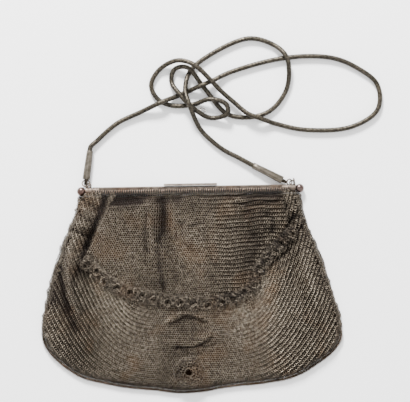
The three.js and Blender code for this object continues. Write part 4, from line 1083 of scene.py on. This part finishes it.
# Frame. Two steel rails, nickelled once and now brown, pinned at the ends. A row of upright
# rings, coppery where they rub, sews the mesh to the front rail through its holes.
FRAME_DARK, FRAME_BRIGHT, FRAME_RUST = (0.055, 0.042, 0.033), (0.15, 0.12, 0.096), (0.10, 0.055, 0.034)
TICK_DARK, TICK_BRIGHT, TICK_RUST = (0.085, 0.058, 0.042), (0.28, 0.205, 0.15), (0.19, 0.10, 0.055)
TICK_PITCH = 1.5 * MM
TICK_RADIUS = 1.5 * MM
TICK_HEIGHT = 2.1 * MM
TICK_SUNK = 0.6 * MM
TICK_WIRE = 0.72 * MM
TICK_LEAN = 1.36
frame_metal = metal("frame_metal", FRAME_DARK, FRAME_BRIGHT, FRAME_RUST,
                    wear=0.75, rust_share=0.6, fine_scale=380.0, metallic=0.9, bump=0.15)
tick_metal = metal("tick_metal", TICK_DARK, TICK_BRIGHT, TICK_RUST,
                   wear=0.9, rust_share=0.5, fine_scale=500.0)


def rounded(name, paint, wide):
    """Give a CAD node its metal and soft edges."""
    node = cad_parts[name]
    for slot in node.material_slots:
        slot.link = "OBJECT"
        slot.material = paint
    edges = node.modifiers.new("rounded edges", "BEVEL")
    edges.width = wide
    edges.segments = 3
    edges.limit_method = "ANGLE"
    edges.angle_limit = math.radians(35)
    edges.harden_normals = True


rounded("rail_front", frame_metal, 0.5 * MM)
rounded("rail_back", frame_metal, 0.4 * MM)
rail_low, rail_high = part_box("rail_front")
x = np.arange(rail_low[0] + 1.5 * MM, rail_high[0] - 1.0 * MM, TICK_PITCH)
count = len(x)
centre = np.column_stack([
    x, np.full(count, rail_low[1] + TICK_HEIGHT), np.full(count, rail_high[2] - TICK_SUNK)])
centre += chance.normal(0, 0.07 * MM, centre.shape)
normal = np.tile([0.0, 0.0, 1.0], (count, 1))
facing = np.tile([1.0, 0.0, 0.0], (count, 1)) + chance.normal(0, 0.12, (count, 3))
ticks = ring_field(
    "frame_rings", centre, normal, facing, np.full(count, TICK_LEAN), TICK_RADIUS, TICK_WIRE)
dress(ticks, tick_metal)
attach(ticks, "root")


# Clasp. A light grey spring strip along the middle of the frame's top, with a dark plate along its edge
# as painted shadow of the slit under it.
CLASP_DARK, CLASP_BRIGHT = (0.17, 0.14, 0.115), (0.36, 0.31, 0.26)
clasp_metal = metal("clasp_metal", CLASP_DARK, CLASP_BRIGHT, FRAME_RUST,
                    wear=0.9, rust_share=0.25, fine_scale=300.0, metallic=0.9)
rounded("clasp_bar", clasp_metal, 0.3 * MM)
clasp_low, clasp_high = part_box("clasp_bar")
GAP_SHADOW_WIDE = 0.9 * MM
GROOVE_SHADOW_WIDE = 3.1 * MM
painted_shadow_metal = metal("painted_shadow_metal", SHADE_SHEET_DARK, SHADE_SHEET_BRIGHT, SHADE_SHEET_RUST,
                  wear=0.4, rust_share=0.3, fine_scale=700.0, metallic=0.2)


def plate(name, low, high, edge):
    """A thin plate with soft edges."""
    shape = bmesh.new()
    bmesh.ops.create_cube(shape, size=1.0)
    for vertex in shape.verts:
        for axis in range(3):
            vertex.co[axis] = (low[axis] + high[axis]) / 2 + vertex.co[axis] * (high[axis] - low[axis])
    bmesh.ops.bevel(shape, geom=shape.edges[:], offset=edge, segments=2, profile=0.5, affect="EDGES")
    mesh = bpy.data.meshes.new(name)
    shape.to_mesh(mesh)
    shape.free()
    piece = bpy.data.objects.new(name, mesh)
    bpy.context.scene.collection.objects.link(piece)
    return piece


# Painted shadow: dark plates along the front rail's lower edge under the rings, and beneath the clasp
# strip's edge, stand in for the shade between the parts.
groove_shadow = plate(
    "frame_groove_shadow",
    (rail_low[0] + 1.5 * MM, rail_low[1] + 0.1 * MM, rail_high[2] - 0.3 * MM),
    (rail_high[0] - 1.0 * MM, rail_low[1] + GROOVE_SHADOW_WIDE, rail_high[2] + 0.05 * MM), 0.1 * MM)
gap_shadow = plate(
    "clasp_gap_shadow",
    (clasp_low[0] + 0.4 * MM, rail_high[1] - GAP_SHADOW_WIDE, rail_high[2] - 0.3 * MM),
    (clasp_high[0] - 0.4 * MM, rail_high[1] + 0.05 * MM, rail_high[2] + 0.06 * MM), 0.1 * MM)
for piece in (groove_shadow, gap_shadow):
    dress(piece, painted_shadow_metal)
    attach(piece, "root")


# Hinge pins. Turned steel pins with a collar and a polished red-brown ball at each end.
BALL_DARK, BALL_BRIGHT, BALL_RUST = (0.075, 0.05, 0.043), (0.20, 0.155, 0.14), (0.09, 0.04, 0.026)
TURN_STEPS = 36
ball_metal = metal("ball_metal", BALL_DARK, BALL_BRIGHT, BALL_RUST,
                   wear=0.6, rust_share=0.6, fine_scale=260.0, metallic=0.95, bump=0.04, dull=0.45)


def turned(name, profile, origin, facing):
    """A turned piece about the X axis: rows of distance along it and radius."""
    turn = np.linspace(0, 2 * math.pi, TURN_STEPS, endpoint=False)
    rings = [
        np.column_stack([
            np.full(TURN_STEPS, origin[0] + facing * along),
            origin[1] + radius * np.cos(turn), origin[2] + facing * radius * np.sin(turn)])
        for along, radius in profile
    ]
    return mesh_object(name, np.vstack(rings), tube_faces(len(profile), TURN_STEPS)[:, ::-1])


BALL_RADIUS = 2.95 * MM
PIN_LENGTH = 17.58 * MM
ball_turn = np.linspace(0.02, math.pi * 0.86, 18)
pin_profile = [(BALL_RADIUS * (1 - math.cos(a)), BALL_RADIUS * math.sin(a)) for a in ball_turn]
pin_profile += [(a * MM, r * MM) for a, r in (
    (5.75, 1.25), (5.78, 2.0), (6.0, 2.25), (6.3, 2.25), (6.5, 2.0), (6.52, 0.8))]
pin_profile += [(PIN_LENGTH - 0.1 * MM, 0.8 * MM), (PIN_LENGTH, 0.05 * MM)]
for side, facing in (("left", 1), ("right", -1)):
    low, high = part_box(f"hinge_pin_{side}")
    start = low[0] if facing > 0 else high[0]
    pin = turned(f"ball_pin_{side}", pin_profile, (start, HINGE_Y, HINGE_Z), facing)
    dress(pin, ball_metal)
    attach(pin, "root")
    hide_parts(f"hinge_pin_{side}")


# Strap fittings. Caps folded from grey sheet grip the strap's ends. Steel wire rings, one on the
# left and two on the right, hang them on the back rail's ears. A stray ring is caught in the knit.
CAP_DARK, CAP_BRIGHT, CAP_RUST = (0.10, 0.087, 0.067), (0.235, 0.205, 0.168), (0.08, 0.062, 0.038)
cap_metal = metal("cap_metal", CAP_DARK, CAP_BRIGHT, CAP_RUST,
                  wear=0.8, rust_share=0.4, fine_scale=420.0, metallic=0.9, bump=0.12)
CAP_SIDES = 36
CAP_CORNER = 0.55
# distance from the foot in mm, half width, half height; the last rows turn back into the mouth
CAP_ROWS = [
    (-3.6, 1.0, 0.4), (0.0, 1.1, 0.5), (0.05, 2.2, 1.1), (0.5, 2.45, 1.5), (3, 2.45, 1.65),
    (8, 2.35, 1.8), (14, 2.2, 1.95), (19, 2.1, 2.0),
    ("mouth", 2.15, 2.05), ("mouth", 1.85, 1.85), ("inside", 1.8, 1.8),
]
GROOVES = (-0.5, 0.45)
GROOVE_DEPTH = 0.3 * MM


def folded_cap(name, side):
    """A sleeve folded from sheet: flat at the foot, round at the mouth, with two folds along it."""
    foot, mouth, along = cap_line(side)
    length = np.linalg.norm(mouth - foot)
    across = np.cross([0.0, 0.0, 1.0], along)
    turn = np.linspace(0, 2 * math.pi, CAP_SIDES, endpoint=False)
    ends = {"mouth": length, "inside": length - 2.6 * MM}
    points, soil_and_shade = [], []
    for place, wide, high in CAP_ROWS:
        place = ends[place] if place in ends else min(place * MM, length - 0.2 * MM)
        corner = CAP_CORNER if wide - high > 0.2 else 1.0
        u = np.sign(np.cos(turn)) * np.abs(np.cos(turn)) ** corner
        v = np.sign(np.sin(turn)) * np.abs(np.sin(turn)) ** corner
        fold = sum(np.exp(-((u - middle) / 0.12) ** 2) for middle in GROOVES) * (v > 0.2) * (wide > 2)
        level = v * high * MM - fold * GROOVE_DEPTH
        points.append(foot + along * place + across * (u * wide * MM)[:, None]
                      + np.array([0.0, 0.0, 1.0]) * level[:, None])
        # Painted shade: darker in the two folds and along the sheet's turned-down sides.
        soil_and_shade.append(np.clip(0.7 * fold + 0.8 * (np.abs(u) > 0.85) * (wide > 2), 0, 1))
    piece = mesh_object(name, np.vstack(points), tube_faces(len(CAP_ROWS), CAP_SIDES)[:, ::-1])
    close_ends(piece, CAP_SIDES)
    mark_soil_and_shade(piece, np.concatenate(soil_and_shade))
    return piece


LINK_WIRE = 0.85 * MM
LINK_STEPS, LINK_SIDES = 40, 12
# x and y in mm from the hinge line, ring radius in mm, direction it tips towards, angle it tips by
LINKS = {
    "left": [(-69.7, 5.4, 2.6, (0.1, 1.0, 0.0), 0.6)],
    "right": [(66.2, 4.2, 1.9, (1.0, -0.1, 0.0), 0.5), (69.3, 4.6, 1.9, (1.0, 0.1, 0.0), 1.4)],
}
on_strap = []
for side in ("left", "right"):
    cap = folded_cap(f"folded_cap_{side}", side)
    dress(cap, cap_metal)
    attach(cap, "root")
    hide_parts(f"end_cap_{side}")
    x, y, radius, towards, tip = (np.array(column) for column in zip(*LINKS[side]))
    count = len(x)
    centre = np.column_stack([x * MM, HINGE_Y + y * MM, np.full(count, HINGE_Z)])
    link = ring_field(f"strap_link_{side}", centre, np.tile([0.0, 0.0, 1.0], (count, 1)), towards, tip,
                      radius * MM, LINK_WIRE, None, LINK_STEPS, LINK_SIDES)
    dress(link, frame_metal)
    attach(link, "root")
    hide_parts(f"jump_ring_{side}")
    on_strap += [cap, link]

STRAY_MIDDLE = (9.0 * MM, HINGE_Y + 53.1 * MM, 2.6 * MM)
STRAY_RADIUS = 1.55 * MM
STRAY_WIRE = 0.45 * MM
silver_metal = metal("silver_metal", CLASP_DARK, CLASP_BRIGHT, CAP_RUST,
                     wear=0.9, rust_share=0.2, fine_scale=500.0, metallic=0.95, bump=0.05, dull=0.5)
stray = ring_field("stray_ring", np.array([STRAY_MIDDLE]), np.array([[0.2, 0.5, 1.0]]),
                   np.array([[1.0, 0.2, 0.0]]), np.array([0.3]), STRAY_RADIUS, STRAY_WIRE, None, 24, 8)
dress(stray, silver_metal)
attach(stray, "root")


# Floor and light. A plain pale floor under soft light from all round, with one soft light beyond
# the frame, a little to the left, that brings out the rings.
floor_mesh = bpy.data.meshes.new("floor")
FLOOR_HALF = 3.0
floor_mesh.from_pydata(
    [(-FLOOR_HALF, -FLOOR_HALF, 0), (FLOOR_HALF, -FLOOR_HALF, 0),
     (FLOOR_HALF, FLOOR_HALF, 0), (-FLOOR_HALF, FLOOR_HALF, 0)], [], [(0, 1, 2, 3)])
floor = bpy.data.objects.new("floor", floor_mesh)
floor.location = (0, 0, -0.0002)
bpy.context.scene.collection.objects.link(floor)
floor_paint = bpy.data.materials.new("floor_paint")
floor_paint.use_nodes = True
floor_paint.node_tree.nodes["Principled BSDF"].inputs["Base Color"].default_value = (1.0, 1.0, 1.0, 1)
floor_paint.node_tree.nodes["Principled BSDF"].inputs["Roughness"].default_value = 0.9
floor_mesh.materials.append(floor_paint)

sky = bpy.data.worlds.new("studio")
sky.use_nodes = True
sky.node_tree.nodes["Background"].inputs["Color"].default_value = (1.0, 1.0, 1.0, 1)
sky.node_tree.nodes["Background"].inputs["Strength"].default_value = 1.6
bpy.context.scene.world = sky


def soft_light(name, place, size, power):
    light = bpy.data.lights.new(name, "AREA")
    light.size = size
    light.energy = power
    lamp = bpy.data.objects.new(name, light)
    lamp.location = place
    aim = Vector((0.0, 0.03, 0.0)) - Vector(place)
    lamp.rotation_euler = aim.to_track_quat("-Z", "Y").to_euler()
    bpy.context.scene.collection.objects.link(lamp)


soft_light("key_light", (-0.25, 1.3, 0.8), 0.3, 95.0)
soft_light("fill_light", (0.9, -0.3, 0.9), 0.9, 3.0)
